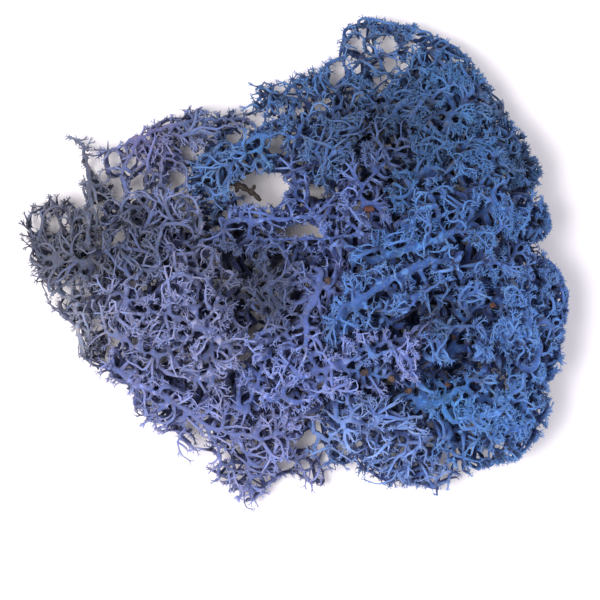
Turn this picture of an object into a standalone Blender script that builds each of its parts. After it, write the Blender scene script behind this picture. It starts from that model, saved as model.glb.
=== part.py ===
"""Clump of reindeer moss: a tangle of branched lichen stalks on a flat surface.

Every stalk is grown by a seeded rule. Stout stems are placed by hand, points are
scattered through the room the clump fills, and twigs grow from the stems towards
the points, forking where the points pull apart.
"""

import math

import bmesh
import bpy
import numpy as np
from mathutils import Matrix, Quaternion, Vector
from mathutils.bvhtree import BVHTree

MM = 0.001

# Driving sizes in millimetres.
TIP_RADIUS = 0.34
STEM_RADIUS = 0.7
FINE_STEM_RADIUS = 0.55
MOST_RADIUS = 0.95
RADIUS_POWER = 3.2
STEP = 1.6
REACH = 0.85
SPACING = 2.5
TWIGS_PER_STALK = 44
BORDER = 0.52
SLACK = 0.45
CLEARANCE = 0.3
LEAN_REACH = 6.0

# The plan outline of the clump, clockwise from the upper right.
OUTLINE = [
    (32, 31), (34, 28.5), (36, 26), (37, 23), (39, 21), (40, 18), (42, 16), (41.5, 13),
    (40, 12), (42, 11), (43, 8), (43, 5), (41, 3), (43, 0.5), (45, -2), (46, -4),
    (46.3, -7.5), (45.5, -10), (45.5, -15), (45, -18), (42.5, -20), (43.5, -23.5),
    (43, -27), (42, -29), (40, -31), (37, -33.5), (33, -34.5), (30.3, -36),
    (27.5, -37.5), (24, -40), (20.5, -37.5), (16.5, -38), (12, -37), (10, -34.5),
    (7, -35.5), (5, -38), (3, -39), (0, -36), (-3, -37), (-5, -41), (-7, -42.8),
    (-9, -40.5), (-11, -37.5), (-13, -38), (-16, -35.5), (-13, -33), (-16, -32),
    (-17, -34), (-19, -32.5), (-20, -29), (-24, -28.5), (-27, -25.5), (-27, -22.5),
    (-30, -20.5), (-32.5, -19), (-35, -17), (-36.5, -15.5), (-36, -13), (-37.5, -10.5),
    (-40, -9), (-41.5, -6.5), (-42, -4.5), (-44, -2.5), (-44, 0), (-45.7, 4),
    (-45.7, 8), (-43, 10), (-41, 11.5), (-38, 12), (-37, 10), (-35, 8), (-35.5, 13),
    (-35.5, 18), (-38.5, 21.7), (-32, 20.5), (-27, 20), (-24.5, 23.5), (-20, 25),
    (-16, 27), (-14, 25), (-10, 26), (-7, 27), (-7.5, 30), (-6, 31), (-4, 31),
    (-1, 30.5), (1, 32.5), (4, 32.5), (7, 35), (7, 36.5), (8, 39), (10, 41), (12, 41.6),
    (16, 41), (21, 40), (26, 37.5), (30, 34),
]

# Gaps that go right through to the surface below: x, y, half width, half depth.
OPENINGS = [
    (-4.8, 12.4, 3.6, 3.2), (0.8, 5.4, 3.2, 0.6), (-10, 21, 0.9, 0.9),
    (-5.5, 23.7, 0.9, 0.9), (-2.5, 19.5, 1.0, 1.0), (-17.5, 18.5, 1.0, 1.0),
    (-19, 14, 0.9, 1.0), (-24, 10, 1.0, 0.9), (-33, 15.7, 1.0, 1.2), (-30, 17, 1.0, 1.0),
    (-26, 13.4, 0.9, 0.9), (-27, 17, 0.8, 0.9), (-29, 11.5, 0.9, 1.0), (-40, 6, 0.9, 1.4),
    (-43, 6.5, 0.9, 1.2), (-28.5, 4, 0.8, 0.8), (-40, -6, 0.9, 0.9), (-37.5, -4.5, 0.8, 0.8),
    (16, 36.4, 1.4, 1.3), (16.5, 33.2, 1.0, 0.8), (11.5, 36.3, 0.7, 0.9), (8.5, 33, 1.0, 0.9),
    (7, 30.6, 0.9, 0.8), (3.5, 11.5, 0.8, 0.8), (-17.5, -27.5, 0.8, 0.8),
    (-15.5, -30, 0.9, 0.8), (-1, -34, 1.2, 1.0), (2, -30.5, 0.9, 0.9),
]

# Deep shaded gaps: x, y, half width, half depth, height of what lies below.
HOLLOWS = [
    (27.5, 13.2, 2.2, 1.6, 9), (29, 2.4, 2.0, 1.8, 10), (23.5, -1.5, 1.2, 1.6, 10),
    (19.5, -4.2, 2.0, 1.6, 11), (14, -5.6, 2.0, 1.6, 12), (20.5, -8.6, 2.4, 2.2, 9),
    (27, -17.6, 2.6, 2.0, 9), (24, -21.0, 2.2, 1.8, 8), (17, -21, 2.0, 1.6, 10),
]

# Height of the clump above the surface at places in plan: x, y, height.
HEIGHTS = [
    (-44, 3, 8), (-39, 9, 9), (-39, -8, 9), (-31, 19, 8), (-33, 8, 13), (-28, -5, 17),
    (-31, -17, 10), (-20, 23, 10), (-19, 12, 14), (-15, -10, 20), (-20, -24, 13),
    (-8, -37, 8), (-6, 26, 12), (-4, 5, 17), (0, -10, 22), (-1, -28, 15), (3, -37, 7),
    (10, 39, 8), (7, 29, 13), (9, 15, 21), (12, 0, 25), (12, -15, 26), (12, -30, 17),
    (24, -38, 8), (25, 24, 20), (29, 12, 26), (31, 0, 28), (31, -12, 28), (31, -25, 24),
    (40, 14, 20), (44, -5, 20), (44, -15, 20), (42, -26, 17), (20, 36, 11), (32, 30, 13),
]


def stalk_upper_right():
    """Spray that ends in the crown at the upper right."""
    return [
        [(17, 10, 9), (20, 14, 11), (21, 20, 12), (22.5, 26, 12), (25, 28.5, 10), (29, 31.5, 8)],
        [(21, 20, 12), (27, 22, 14), (33, 24, 10)],
        [(21, 20, 12), (16, 23.5, 12), (15, 28, 9)],
        [(22.5, 26, 12), (20, 31, 8), (21.5, 35, 6), (22.5, 38, 4.5)],
        [(22.5, 26, 12), (26, 24.6, 16), (31, 27.4, 12)],
        [(20, 14, 11), (22, 16.5, 5), (22, 18, -0.5)],
    ]


def stalk_lobe_a():
    """Stalk and crown of the first lobe of the right rim."""
    return [
        [(18, 12.2, 18), (25, 15.3, 19), (30, 16.2, 18), (35, 16, 14), (38.5, 15.5, 11)],
        [(30, 16.2, 18), (33, 19.5, 12), (36.5, 19.5, 8)],
        [(30, 16.2, 18), (32.5, 14, 9), (33, 14, -0.5)],
    ]


def stalk_lobe_b():
    """Stalk and crown of the second lobe, with the upright stem beside it."""
    return [
        [(13, 0.3, 18), (17, 1.5, 20), (21, 2.4, 22), (25, 4, 22.5), (24, 8, 22), (23, 11, 20)],
        [(25, 4, 22.5), (28, 6, 21), (31, 8, 19), (36, 8, 15), (39.5, 7.5, 11)],
        [(31, 8, 19), (34.5, 4.8, 13), (39, 3.8, 8)],
        [(31, 8, 19), (30, 8.5, 9), (30, 8, -0.5)],
    ]


def stalk_lobe_c():
    """Long forked stalk and crown of the third lobe."""
    return [
        [(8, -9.5, 20), (10, -7.2, 21), (17, -2.5, 21), (21, -0.6, 20), (25, 0.4, 19),
         (30, -0.3, 18), (35, -2, 15), (41, -4, 11)],
        [(21, -0.6, 20), (22.7, -4, 20), (24.5, -7, 19)],
        [(10, -7.2, 21), (14, -8.2, 20), (16.5, -10, 18)],
        [(35, -2, 15), (37, -6.5, 11), (42, -8.5, 8)],
        [(35, -2, 15), (33, -1.2, 6), (32.5, -1, -0.5)],
    ]


def stalk_lobe_d():
    """Stalk and crown of the fourth lobe, with the slanting stem above it."""
    return [
        [(22, -14.2, 16), (26, -14.6, 18), (31, -14.3, 18), (37, -14, 14), (41.5, -14.5, 10)],
        [(26, -14.6, 18), (28, -10.4, 20.5), (30.5, -7.6, 20), (33.6, -6.9, 18)],
        [(31, -14.3, 18), (35, -11.5, 9), (39, -11.5, 6)],
        [(31, -14.3, 18), (31, -13.5, 8), (31.5, -13, -0.5)],
        [(37, -14, 14), (39, -17.5, 9)],
    ]


def stalk_lobe_e():
    """Stalk and crown of the fifth lobe."""
    return [
        [(21, -24.2, 13), (25, -23.5, 16), (28, -21.2, 18), (31, -18.6, 17)],
        [(21, -24.2, 13), (19.4, -21, 14.5)],
        [(25, -23.5, 16), (25.7, -20, 15.6)],
        [(28, -21.2, 18), (33, -23, 17), (38, -26.5, 12)],
        [(33, -23, 17), (35, -29, 9)],
        [(33, -23, 17), (32.5, -24, 8), (32, -24.5, -0.5)],
        [(25, -23.5, 16), (27, -29, 11), (29, -32.5, 7)],
    ]


def stalk_bottom():
    """Arching stalk with the open tips of the lower edge."""
    return [
        [(10, -19, 10), (9.5, -23, 15), (9.5, -26, 16), (6.5, -29, 13), (6, -33.5, 7)],
        [(9.5, -26, 16), (14.5, -28, 14), (19, -26.8, 14), (20, -30.5, 11), (23.5, -37.5, 6)],
        [(14.5, -28, 14), (13, -31.5, 10), (13.5, -35, 6)],
        [(10, -19, 10), (11, -20.5, 4), (11.5, -21, -0.5)],
    ]


def stalk_middle():
    """The two long bare stems that lie side by side across the middle."""
    return [
        [(-10, 6.9, 13), (-5, 7, 14), (0, 7.4, 15), (4, 7.8, 15.5), (9, 7, 16), (12, 4.6, 16)],
        [(-7, 4, 12), (-3, 3.8, 13), (1, 3.6, 14), (5, 3.9, 15), (12, 4.6, 16)],
        [(4, 7.8, 15.5), (1, 10.6, 15), (0.2, 15, 13)],
        [(9, 7, 16), (11, 11, 18), (13, 14, 17), (17, 17.6, 15)],
        [(11, 11, 18), (12.8, 9, 17), (13.4, 6.8, 16)],
        [(1, 3.6, 14), (0.5, 0.5, 9), (0.5, -1, 4)],
        [(-5, 7, 14), (-9, 4, 6), (-10, 2.5, -0.5)],
        [(12, 4.6, 16), (10, 2.5, 7), (9.5, 2, -0.5)],
    ]


def stalk_lower_middle():
    """Stout stems just below the middle; the lowest one lies on the surface."""
    return [
        [(4.6, -1.5, 16), (4, -5.5, 18.5), (2.2, -9.5, 19), (2.5, -14, 19), (4, -18, 18),
         (4, -22, 15)],
        [(4, -18, 18), (8, -17.6, 19.5), (12.5, -14.4, 21), (17.5, -13, 19)],
        [(2.2, -9.5, 19), (-3, -13, 16), (-5, -18, 14), (-7, -23, 11)],
        [(2.2, -9.5, 19), (1.5, -9, 9), (3, -8.5, 0.3), (9, -8, 0.3)],
        [(2.2, -9.5, 19), (-2, -7.2, 17), (-6.5, -6.6, 14)],
        [(4, -5.5, 18.5), (6.3, -3.2, 17.2)],
        [(8, -17.6, 19.5), (12, -18.4, 18), (16.8, -19.3, 16)],
        [(2.5, -14, 19), (0, -16, 8), (-1, -18, -0.5)],
    ]


def stalk_hub():
    """Flattened hub with radiating arms."""
    return [
        [(-10, -14.5, 14), (-13, -12.3, 15), (-15.5, -11, 15.5), (-18.5, -9.2, 15),
         (-22, -8.5, 14), (-25.5, -6.5, 13), (-29, -5.2, 11)],
        [(-15.5, -11, 15.5), (-16, -7, 15), (-15.3, -2.5, 13), (-17, 3, 11)],
        [(-15.5, -11, 15.5), (-12.6, -7.5, 15), (-11.5, -2.5, 13)],
        [(-15.5, -11, 15.5), (-18.5, -14, 13), (-22, -15.6, 12), (-27, -14, 11), (-31, -11.6, 9)],
        [(-13, -12.3, 15), (-14, -16, 13), (-13, -20, 12)],
        [(-15.5, -11, 15.5), (-14.5, -10, 6), (-14, -9.5, -0.5)],
        [(-22, -8.5, 14), (-23, -8, 6), (-23.5, -7.5, -0.5)],
    ]


def stalk_fringe():
    """Thin fringe of the bottom left edge."""
    return [
        [(-30, -17.5, 7), (-26, -20.6, 9), (-22, -22, 10), (-17.5, -24.8, 10), (-14.5, -27.3, 10),
         (-12.3, -31.5, 7), (-12.3, -35.5, 4.5)],
        [(-14.5, -27.3, 10), (-10, -28.6, 10), (-7.6, -32, 8), (-7, -40, 4)],
        [(-10, -28.6, 10), (-5, -29.6, 10), (-1.5, -28.5, 10), (0.6, -32.6, 7), (2.8, -37, 4)],
        [(-17.5, -24.8, 10), (-18.3, -28.8, 6)],
        [(-17.5, -24.8, 10), (-17.8, -24, 4), (-18, -23.5, -0.5)],
        [(-5, -29.6, 10), (-4.2, -28.6, 4), (-4, -28, -0.5)],
    ]


def stalk_left():
    """Felted dark stem and the tips of the far left."""
    return [
        [(-34.2, 16, 8), (-33.8, 12, 10), (-34, 8, 11), (-34, 4.5, 11), (-33.3, 0.5, 10),
         (-37, -3, 9), (-36, -8.5, 8), (-34, -13.5, 6)],
        [(-33.3, 0.5, 10), (-38.5, 0, 9), (-42.5, 1.5, 7), (-44.4, 6, 5)],
        [(-34, 8, 11), (-37.5, 9, 7), (-41, 9.8, 5)],
        [(-37, -3, 9), (-40.4, -5.6, 6)],
        [(-33.8, 12, 10), (-30.5, 13.5, 9)],
        [(-33.3, 0.5, 10), (-34, 1, 4), (-34.3, 1.2, -0.5)],
        [(-34.2, 16, 8), (-35.2, 20, 5.5), (-37.8, 21.4, 4)],
    ]


def stalk_upper_left():
    """Band along the upper left edge."""
    return [
        [(-30.5, 18.6, 6), (-25.5, 21, 8), (-20, 23, 8.5), (-15, 24, 9), (-10.5, 24, 9)],
        [(-20, 23, 8.5), (-21.5, 17.5, 10), (-22, 13, 11), (-26, 8, 10), (-29, 6.5, 9)],
        [(-25.5, 21, 8), (-28.5, 14.5, 9)],
        [(-15, 24, 9), (-14.6, 20.5, 9)],
        [(-22, 13, 11), (-17.8, 10, 11.5), (-16.4, 6.8, 11.5)],
        [(-26, 8, 10), (-28.2, 3, 12), (-26, -0.6, 13)],
        [(-21.5, 17.5, 10), (-22.5, 17.5, 4), (-23, 17.5, -0.5)],
    ]


def stalk_frond():
    """Open frond at the top."""
    return [
        [(-5, 28, 6), (0, 27, 8), (5.5, 28.2, 9), (9, 31, 8), (11.5, 34, 7), (12.6, 37, 6),
         (14, 39.4, 5)],
        [(11.5, 34, 7), (15, 34.6, 7), (18.6, 35.4, 6)],
        [(9, 31, 8), (12.5, 30.4, 8)],
        [(5.5, 28.2, 9), (5.2, 29.5, 4), (5, 30, -0.5)],
        [(9, 31, 8), (8.2, 36, 6), (9.4, 39.4, 5)],
        [(-5, 28, 6), (-5.5, 29.8, 5)],
        [(14, 39.4, 5), (17.5, 39.6, 5)],
    ]


def stalk_upper_middle():
    """Hanging branch and the net above the middle."""
    return [
        [(-14.2, 16.4, 9), (-9.5, 19, 11), (-5.2, 21.4, 12), (1, 20.8, 13), (7, 20, 14),
         (11, 22, 12)],
        [(-5.2, 21.4, 12), (-5.2, 17.4, 11), (-7.6, 16, 9)],
        [(-14.2, 16.4, 9), (-15, 12.6, 10), (-12.4, 10.6, 11)],
        [(7, 20, 14), (6, 15.8, 15)],
        [(1, 20.8, 13), (2.5, 24.4, 12), (8, 25.6, 11)],
        [(-9.5, 19, 11), (-11.6, 20.4, 9), (-12, 22.2, 7)],
        [(1, 20.8, 13), (1.5, 22.5, 5), (1.5, 23, -0.5)],
    ]


STALKS = [
    ("podetium_upper_right", stalk_upper_right, 11, (0.045, 0.09, 0.19), STEM_RADIUS),
    ("podetium_lobe_a", stalk_lobe_a, 12, (0.04, 0.08, 0.16), STEM_RADIUS),
    ("podetium_lobe_b", stalk_lobe_b, 13, (0.045, 0.09, 0.2), STEM_RADIUS),
    ("podetium_lobe_c", stalk_lobe_c, 14, (0.055, 0.115, 0.29), STEM_RADIUS),
    ("podetium_lobe_d", stalk_lobe_d, 15, (0.06, 0.125, 0.3), STEM_RADIUS),
    ("podetium_lobe_e", stalk_lobe_e, 16, (0.07, 0.15, 0.32), STEM_RADIUS),
    ("podetium_bottom", stalk_bottom, 17, (0.1, 0.16, 0.36), STEM_RADIUS),
    ("podetium_middle", stalk_middle, 18, (0.07, 0.1, 0.24), STEM_RADIUS),
    ("podetium_lower_middle", stalk_lower_middle, 19, (0.09, 0.13, 0.31), STEM_RADIUS),
    ("podetium_hub", stalk_hub, 20, (0.12, 0.13, 0.29), FINE_STEM_RADIUS),
    ("podetium_fringe", stalk_fringe, 21, (0.1, 0.12, 0.27), FINE_STEM_RADIUS),
    ("podetium_left", stalk_left, 22, (0.05, 0.05, 0.085), FINE_STEM_RADIUS),
    ("podetium_upper_left", stalk_upper_left, 23, (0.13, 0.135, 0.26), FINE_STEM_RADIUS),
    ("podetium_frond", stalk_frond, 24, (0.055, 0.085, 0.19), FINE_STEM_RADIUS),
    ("podetium_upper_middle", stalk_upper_middle, 25, (0.07, 0.11, 0.25), FINE_STEM_RADIUS),
]

# Scraps of bark and litter: x, y, length, width, thickness, turn in degrees.
SCRAPS = [
    (12.7, 8.7, 2.6, 1.8, 0.8, 20), (6.0, -3.2, 1.9, 1.4, 0.8, 75), (12.0, -18.4, 2.4, 1.6, 0.8, 40),
    (16.5, -19.3, 2.0, 1.5, 0.8, 110), (19.4, -21.4, 1.9, 1.3, 0.7, 10), (25.8, -20.4, 1.5, 1.1, 0.7, 60),
    (33.2, -7.2, 1.5, 1.1, 0.7, 140), (26.8, -12.6, 1.4, 1.1, 0.7, 30),
]

# Dead twig at the edge of the large opening.
DEAD_TWIG = [(-12.6, 12.0, 12.2), (-10.6, 13.3, 12.2), (-8.8, 12.9, 12), (-7, 11.7, 12), (-5.2, 10.2, 12)]

# Middle of the clump in plan, which becomes its origin.
MIDDLE = (0.58, 0.37)


def segments(stems):
    """Start and end points of every straight piece of the given stems."""
    starts = []
    ends = []
    for stem in stems:
        for a, b in zip(stem[:-1], stem[1:]):
            starts.append(a)
            ends.append(b)
    return np.array(starts, float), np.array(ends, float)


def distance_to_segments(points, starts, ends):
    """Least distance from each point to any of the segments."""
    span = ends - starts
    length = np.einsum("ij,ij->i", span, span)
    best = np.full(len(points), 1e9)
    for a, s, l in zip(starts, span, length):
        t = np.clip(((points - a) @ s) / max(l, 1e-9), 0, 1)
        gap = np.linalg.norm(points - a - t[:, None] * s, axis=1)
        best = np.minimum(best, gap)
    return best


def inside_outline(points):
    """True where a plan point lies inside the outline."""
    ring = np.array(OUTLINE, float)
    x, y = points[:, 0], points[:, 1]
    inside = np.zeros(len(points), bool)
    for (x0, y0), (x1, y1) in zip(ring, np.roll(ring, -1, axis=0)):
        crosses = (y0 > y) != (y1 > y)
        at = (x1 - x0) * (y - y0) / ((y1 - y0) if y1 != y0 else 1e-9) + x0
        inside ^= crosses & (x < at)
    return inside


def depth_in_outline(points):
    """Distance from each plan point to the outline."""
    ring = np.array(OUTLINE, float)
    return distance_to_segments(points, ring, np.roll(ring, -1, axis=0))


def height_at(points):
    """Height of the clump at each plan point, blended from the nearby heights."""
    spots = np.array(HEIGHTS, float)
    gap = np.linalg.norm(points[:, None, :2] - spots[None, :, :2], axis=2)
    weight = np.exp(-((gap / 8.0) ** 2)) + 1e-6 / (1 + gap**4)
    return (weight * spots[None, :, 2]).sum(1) / weight.sum(1)


def in_room(points, margin=0.0):
    """True where a point lies in the room that twigs may fill."""
    plan = points[:, :2]
    height = height_at(points)
    depth = depth_in_outline(plan)
    width = 0.36 * height
    bulge = np.sqrt(np.clip(1 - (1 - np.clip(depth / width, 0, 1)) ** 2, 0, 1))
    middle = 0.4 * height
    top = middle + (height - middle) * bulge
    bottom = np.maximum(middle - middle * bulge, 0.6)
    good = inside_outline(plan) & (depth >= margin)
    good &= (points[:, 2] < top - margin) & (points[:, 2] > bottom)
    for x, y, a, b in OPENINGS:
        d = ((plan[:, 0] - x) / (a + 0.5)) ** 2 + ((plan[:, 1] - y) / (b + 0.5)) ** 2
        good &= d > 1
    for x, y, a, b, low in HOLLOWS:
        d = ((plan[:, 0] - x) / a) ** 2 + ((plan[:, 1] - y) / b) ** 2
        good &= (d > 1) | (points[:, 2] < low)
    return good


def scrap_places():
    """Centre of each scrap: just above the highest stem close by."""
    places = []
    stems = [stem for _, make, _, _, _ in STALKS for stem in make()]
    starts, ends = segments(stems)
    for x, y, long, wide, thick, turn in SCRAPS:
        plan = np.array((x, y))
        best = None
        for a, b in zip(starts, ends):
            for t in np.linspace(0, 1, 9):
                p = a + t * (b - a)
                gap = np.linalg.norm(p[:2] - plan)
                if gap < 1.3 and (best is None or p[2] - gap > best[2] - best[3]):
                    best = (p[0], p[1], p[2], gap)
        height = 12.0 if best is None else best[2] - 0.25 * best[3]
        places.append((x, y, height + STEM_RADIUS + CLEARANCE + 0.6 * thick))
    return places


def clear_of_scraps(points, places, twig=True):
    """True where a twig would not touch a scrap or the dead twig."""
    good = np.ones(len(points), bool)
    for (x, y, z), (_, _, long, wide, thick, _) in zip(places, SCRAPS):
        d = points - np.array((x, y, z))
        good &= (np.hypot(d[:, 0], d[:, 1]) > 0.5 * long + 1.0) | (d[:, 2] < -1.3 * thick - 0.6)
    if twig:
        lines = [line for line, _ in dead_twig()]
        good &= distance_to_segments(points, *segments(lines)) > 1.5
    return good


def scatter(rng, own, others, places, count, spacing):
    """Points spread through the part of the room that lies nearest this stalk."""
    starts, ends = own
    low = np.minimum(starts, ends).min(0) - 9
    high = np.maximum(starts, ends).max(0) + 9
    low[2], high[2] = 0.6, 29
    cloud = rng.uniform(low, high, (16000, 3))
    cloud = cloud[in_room(cloud, 0.3)]
    cloud = cloud[clear_of_scraps(cloud, places)]
    near = distance_to_segments(cloud, starts, ends)
    far = distance_to_segments(cloud, *others)
    keep = (far - near > 2 * BORDER + 0.3) & (near > 2.4)
    cloud = cloud[keep]
    top = height_at(cloud)
    edge = depth_in_outline(cloud[:, :2])
    shade = np.minimum((top - cloud[:, 2]) / 6.0, edge / 4.0)
    order = np.argsort(shade - 0.25 * near[keep] + rng.uniform(0, 1.0, len(cloud)))
    chosen = []
    for index in order:
        point = cloud[index]
        room = spacing * (1 + 1.2 * min(max(shade[index] - 0.3, 0.0), 2.0))
        if all(np.linalg.norm(point - other) > room for other in chosen):
            chosen.append(point)
        if len(chosen) >= count:
            break
    return np.array(chosen)


def tree_of_stems(stems, step):
    """Nodes along the hand-placed stems, each with the node it grows from."""
    nodes = []
    parents = []
    for stem in stems:
        first = np.array(stem[0], float)
        at = None
        for index, node in enumerate(nodes):
            if np.linalg.norm(node - first) < 0.01:
                at = index
        if at is None:
            if nodes:
                at = int(np.argmin([np.linalg.norm(node - first) for node in nodes]))
            nodes.append(first)
            parents.append(-1 if at is None else at)
            at = len(nodes) - 1
        for a, b in zip(stem[:-1], stem[1:]):
            a, b = np.array(a, float), np.array(b, float)
            pieces = max(1, int(round(np.linalg.norm(b - a) / step)))
            for k in range(1, pieces + 1):
                nodes.append(a + (b - a) * k / pieces)
                parents.append(at)
                at = len(nodes) - 1
    return nodes, parents


def grow(nodes, parents, pulls, step, reach, allowed, rounds=40):
    """Grow twigs from the nodes towards the pulling points."""
    nodes = list(nodes)
    parents = list(parents)
    fixed = len(nodes)
    where = np.array(nodes)
    gap = np.linalg.norm(pulls[:, None] - where[None], axis=2)
    nearest = gap.argmin(1)
    least = gap.min(1)
    alive = least > reach
    for _ in range(rounds):
        if not alive.any():
            break
        new = []
        for node in np.unique(nearest[alive]):
            mine = np.where(alive & (nearest == node))[0]
            lines = pulls[mine] - where[node]
            lengths = np.linalg.norm(lines, axis=1)
            pull = (lines / lengths[:, None]).sum(0)
            if node >= fixed and parents[node] >= 0:
                along = where[node] - where[parents[node]]
                pull = pull + 0.6 * along / max(np.linalg.norm(along), 1e-9)
            size = np.linalg.norm(pull)
            tip = where[node] + step * pull / max(size, 1e-9)
            if size < 0.2 or min(np.linalg.norm(pulls[mine] - tip, axis=1) - lengths) > -0.2 * step:
                closest = mine[int(lengths.argmin())]
                line = pulls[closest] - where[node]
                tip = where[node] + step * line / np.linalg.norm(line)
            new.append((node, tip, mine))
        tips = np.array([tip for _, tip, _ in new])
        good = allowed(tips)
        added = []
        for (node, tip, mine), fine in zip(new, good):
            if not fine:
                alive[mine[int(least[mine].argmin())]] = False
                continue
            nodes.append(tip)
            parents.append(int(node))
            added.append(len(nodes) - 1)
        if added:
            where = np.array(nodes)
            gap = np.linalg.norm(pulls[:, None] - where[None, added], axis=2)
            close = gap.argmin(1)
            closer = gap.min(1) < least
            nearest = np.where(closer, np.array(added)[close], nearest)
            least = np.minimum(least, gap.min(1))
        alive &= least > reach
    return nodes, parents


def children_of(parents):
    """Children of each node."""
    children = [[] for _ in parents]
    for index, parent in enumerate(parents):
        if parent >= 0:
            children[parent].append(index)
    return children


def thickness(nodes, parents, floor):
    """Radius at each node, from the number of twigs that it carries."""
    children = children_of(parents)
    load = [0.0] * len(nodes)
    for index in range(len(nodes) - 1, -1, -1):
        if not children[index]:
            load[index] = TIP_RADIUS**RADIUS_POWER
        else:
            load[index] = sum(load[child] for child in children[index])
    radii = [l ** (1 / RADIUS_POWER) for l in load]
    return [min(max(r, f), MOST_RADIUS) for r, f in zip(radii, floor)]


def branches_of(nodes, parents, radii):
    """Split the tree into branches, each following its stoutest child."""
    children = children_of(parents)
    roots = [i for i, p in enumerate(parents) if p < 0]
    todo = [(root, None) for root in roots]
    found = []
    while todo:
        start, stem = todo.pop()
        line = [] if stem is None else [stem]
        at = start
        while at is not None:
            line.append(at)
            kids = sorted(children[at], key=lambda k: -radii[k])
            at = kids[0] if kids else None
            for kid in kids[1:]:
                todo.append((kid, line[-1]))
        found.append(line)
    return found


def thinned(line, nodes, slack):
    """Leave out points of a branch that lie within the slack of a straight run."""
    if len(line) < 3:
        return line
    ends = (np.array([nodes[line[0]]]), np.array([nodes[line[-1]]]))
    gaps = distance_to_segments(np.array([nodes[i] for i in line]), *ends)
    worst = int(gaps.argmax())
    if gaps[worst] <= slack:
        return [line[0], line[-1]]
    return thinned(line[:worst + 1], nodes, slack)[:-1] + thinned(line[worst:], nodes, slack)


def nearest_on(points, spot):
    """The place on a run of straight pieces that lies nearest the spot."""
    best = None
    for a, b in zip(points[:-1], points[1:]):
        t = np.clip((spot - a) @ (b - a) / ((b - a) @ (b - a)), 0, 1)
        place = a + t * (b - a)
        gap = np.linalg.norm(spot - place)
        if best is None or gap < best[0]:
            best = (gap, place)
    return best[1]


def tube(name, points, radii, sides=3, twist=0.0):
    """Tapered tube along the points, closed at both ends."""
    mesh = bmesh.new()
    points = [Vector(p) for p in points]
    direction = (points[1] - points[0]).normalized()
    side = Quaternion(direction, twist) @ direction.orthogonal().normalized()
    rings = []
    for k, point in enumerate(points):
        ahead = (points[min(k + 1, len(points) - 1)] - points[min(k, len(points) - 2)]).normalized()
        behind = (points[max(k, 1)] - points[max(k - 1, 0)]).normalized()
        direction = (ahead + behind).normalized()
        side = (side - side.dot(direction) * direction).normalized()
        other = direction.cross(side)
        ring = []
        for s in range(sides):
            angle = 2 * math.pi * s / sides
            ring.append(mesh.verts.new(
                (point + radii[k] * (math.cos(angle) * side + math.sin(angle) * other)) * MM))
        rings.append(ring)
    mesh.faces.new(list(reversed(rings[0])))
    mesh.faces.new(rings[-1])
    for low, high in zip(rings[:-1], rings[1:]):
        for s in range(sides):
            t = (s + 1) % sides
            mesh.faces.new((low[s], low[t], high[t], high[s]))
    bmesh.ops.triangulate(mesh, faces=mesh.faces[:])
    data = bpy.data.meshes.new(name)
    mesh.to_mesh(data)
    mesh.free()
    item = bpy.data.objects.new(name, data)
    return item


def dye(name, colour, roughness=0.92):
    """Matt dyed or natural surface."""
    material = bpy.data.materials.new(name)
    material.use_nodes = True
    shader = material.node_tree.nodes["Principled BSDF"]
    shader.inputs["Base Color"].default_value = (*colour, 1)
    shader.inputs["Roughness"].default_value = roughness
    shader.inputs["Metallic"].default_value = 0.0
    material.diffuse_color = (*colour, 1)
    return material


def joined(name, pieces):
    """One closed body: the union of the pieces, cut flat where it rests."""
    group = bpy.data.collections.new(name + "_twigs")
    bpy.context.scene.collection.children.link(group)
    body = pieces[0]
    bpy.context.scene.collection.objects.link(body)
    for piece in pieces[1:]:
        group.objects.link(piece)
    union = body.modifiers.new("union", "BOOLEAN")
    union.operation = "UNION"
    union.operand_type = "COLLECTION"
    union.collection = group
    union.solver = "EXACT"
    bpy.ops.mesh.primitive_cube_add(size=0.2, location=(0, 0, -0.1))
    slab = bpy.context.object
    slab.name = name + "_slab"
    slab.hide_render = True
    slab.display_type = "WIRE"
    cut = body.modifiers.new("rest", "BOOLEAN")
    cut.operation = "DIFFERENCE"
    cut.object = slab
    cut.solver = "EXACT"
    evaluated = body.evaluated_get(bpy.context.evaluated_depsgraph_get())
    data = bpy.data.meshes.new_from_object(evaluated)
    body.modifiers.clear()
    for item in pieces[1:] + [slab]:
        mesh = item.data
        bpy.data.objects.remove(item)
        bpy.data.meshes.remove(mesh)
    bpy.data.collections.remove(group)
    old = body.data
    body.data = data
    bpy.data.meshes.remove(old)
    body.name = name
    data.name = name
    keep_outer_body(data)
    return body


def keep_outer_body(data):
    """Merge stray close points, then drop loose scraps and filled hollows."""
    mesh = bmesh.new()
    mesh.from_mesh(data)
    bmesh.ops.triangulate(mesh, faces=mesh.faces[:])
    mesh.faces.ensure_lookup_table()
    seen = set()
    islands = []
    for face in mesh.faces:
        if face.index in seen:
            continue
        island = []
        stack = [face]
        seen.add(face.index)
        while stack:
            at = stack.pop()
            island.append(at)
            for edge in at.edges:
                for other in edge.link_faces:
                    if other.index not in seen:
                        seen.add(other.index)
                        stack.append(other)
        islands.append(island)
    islands.sort(key=len)
    loose = [face for island in islands[:-1] for face in island]
    bmesh.ops.delete(mesh, geom=loose, context="FACES")
    spare = [v for v in mesh.verts if not v.link_faces]
    bmesh.ops.delete(mesh, geom=spare, context="VERTS")
    bmesh.ops.recalc_face_normals(mesh, faces=mesh.faces[:])
    mesh.to_mesh(data)
    mesh.free()


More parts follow.
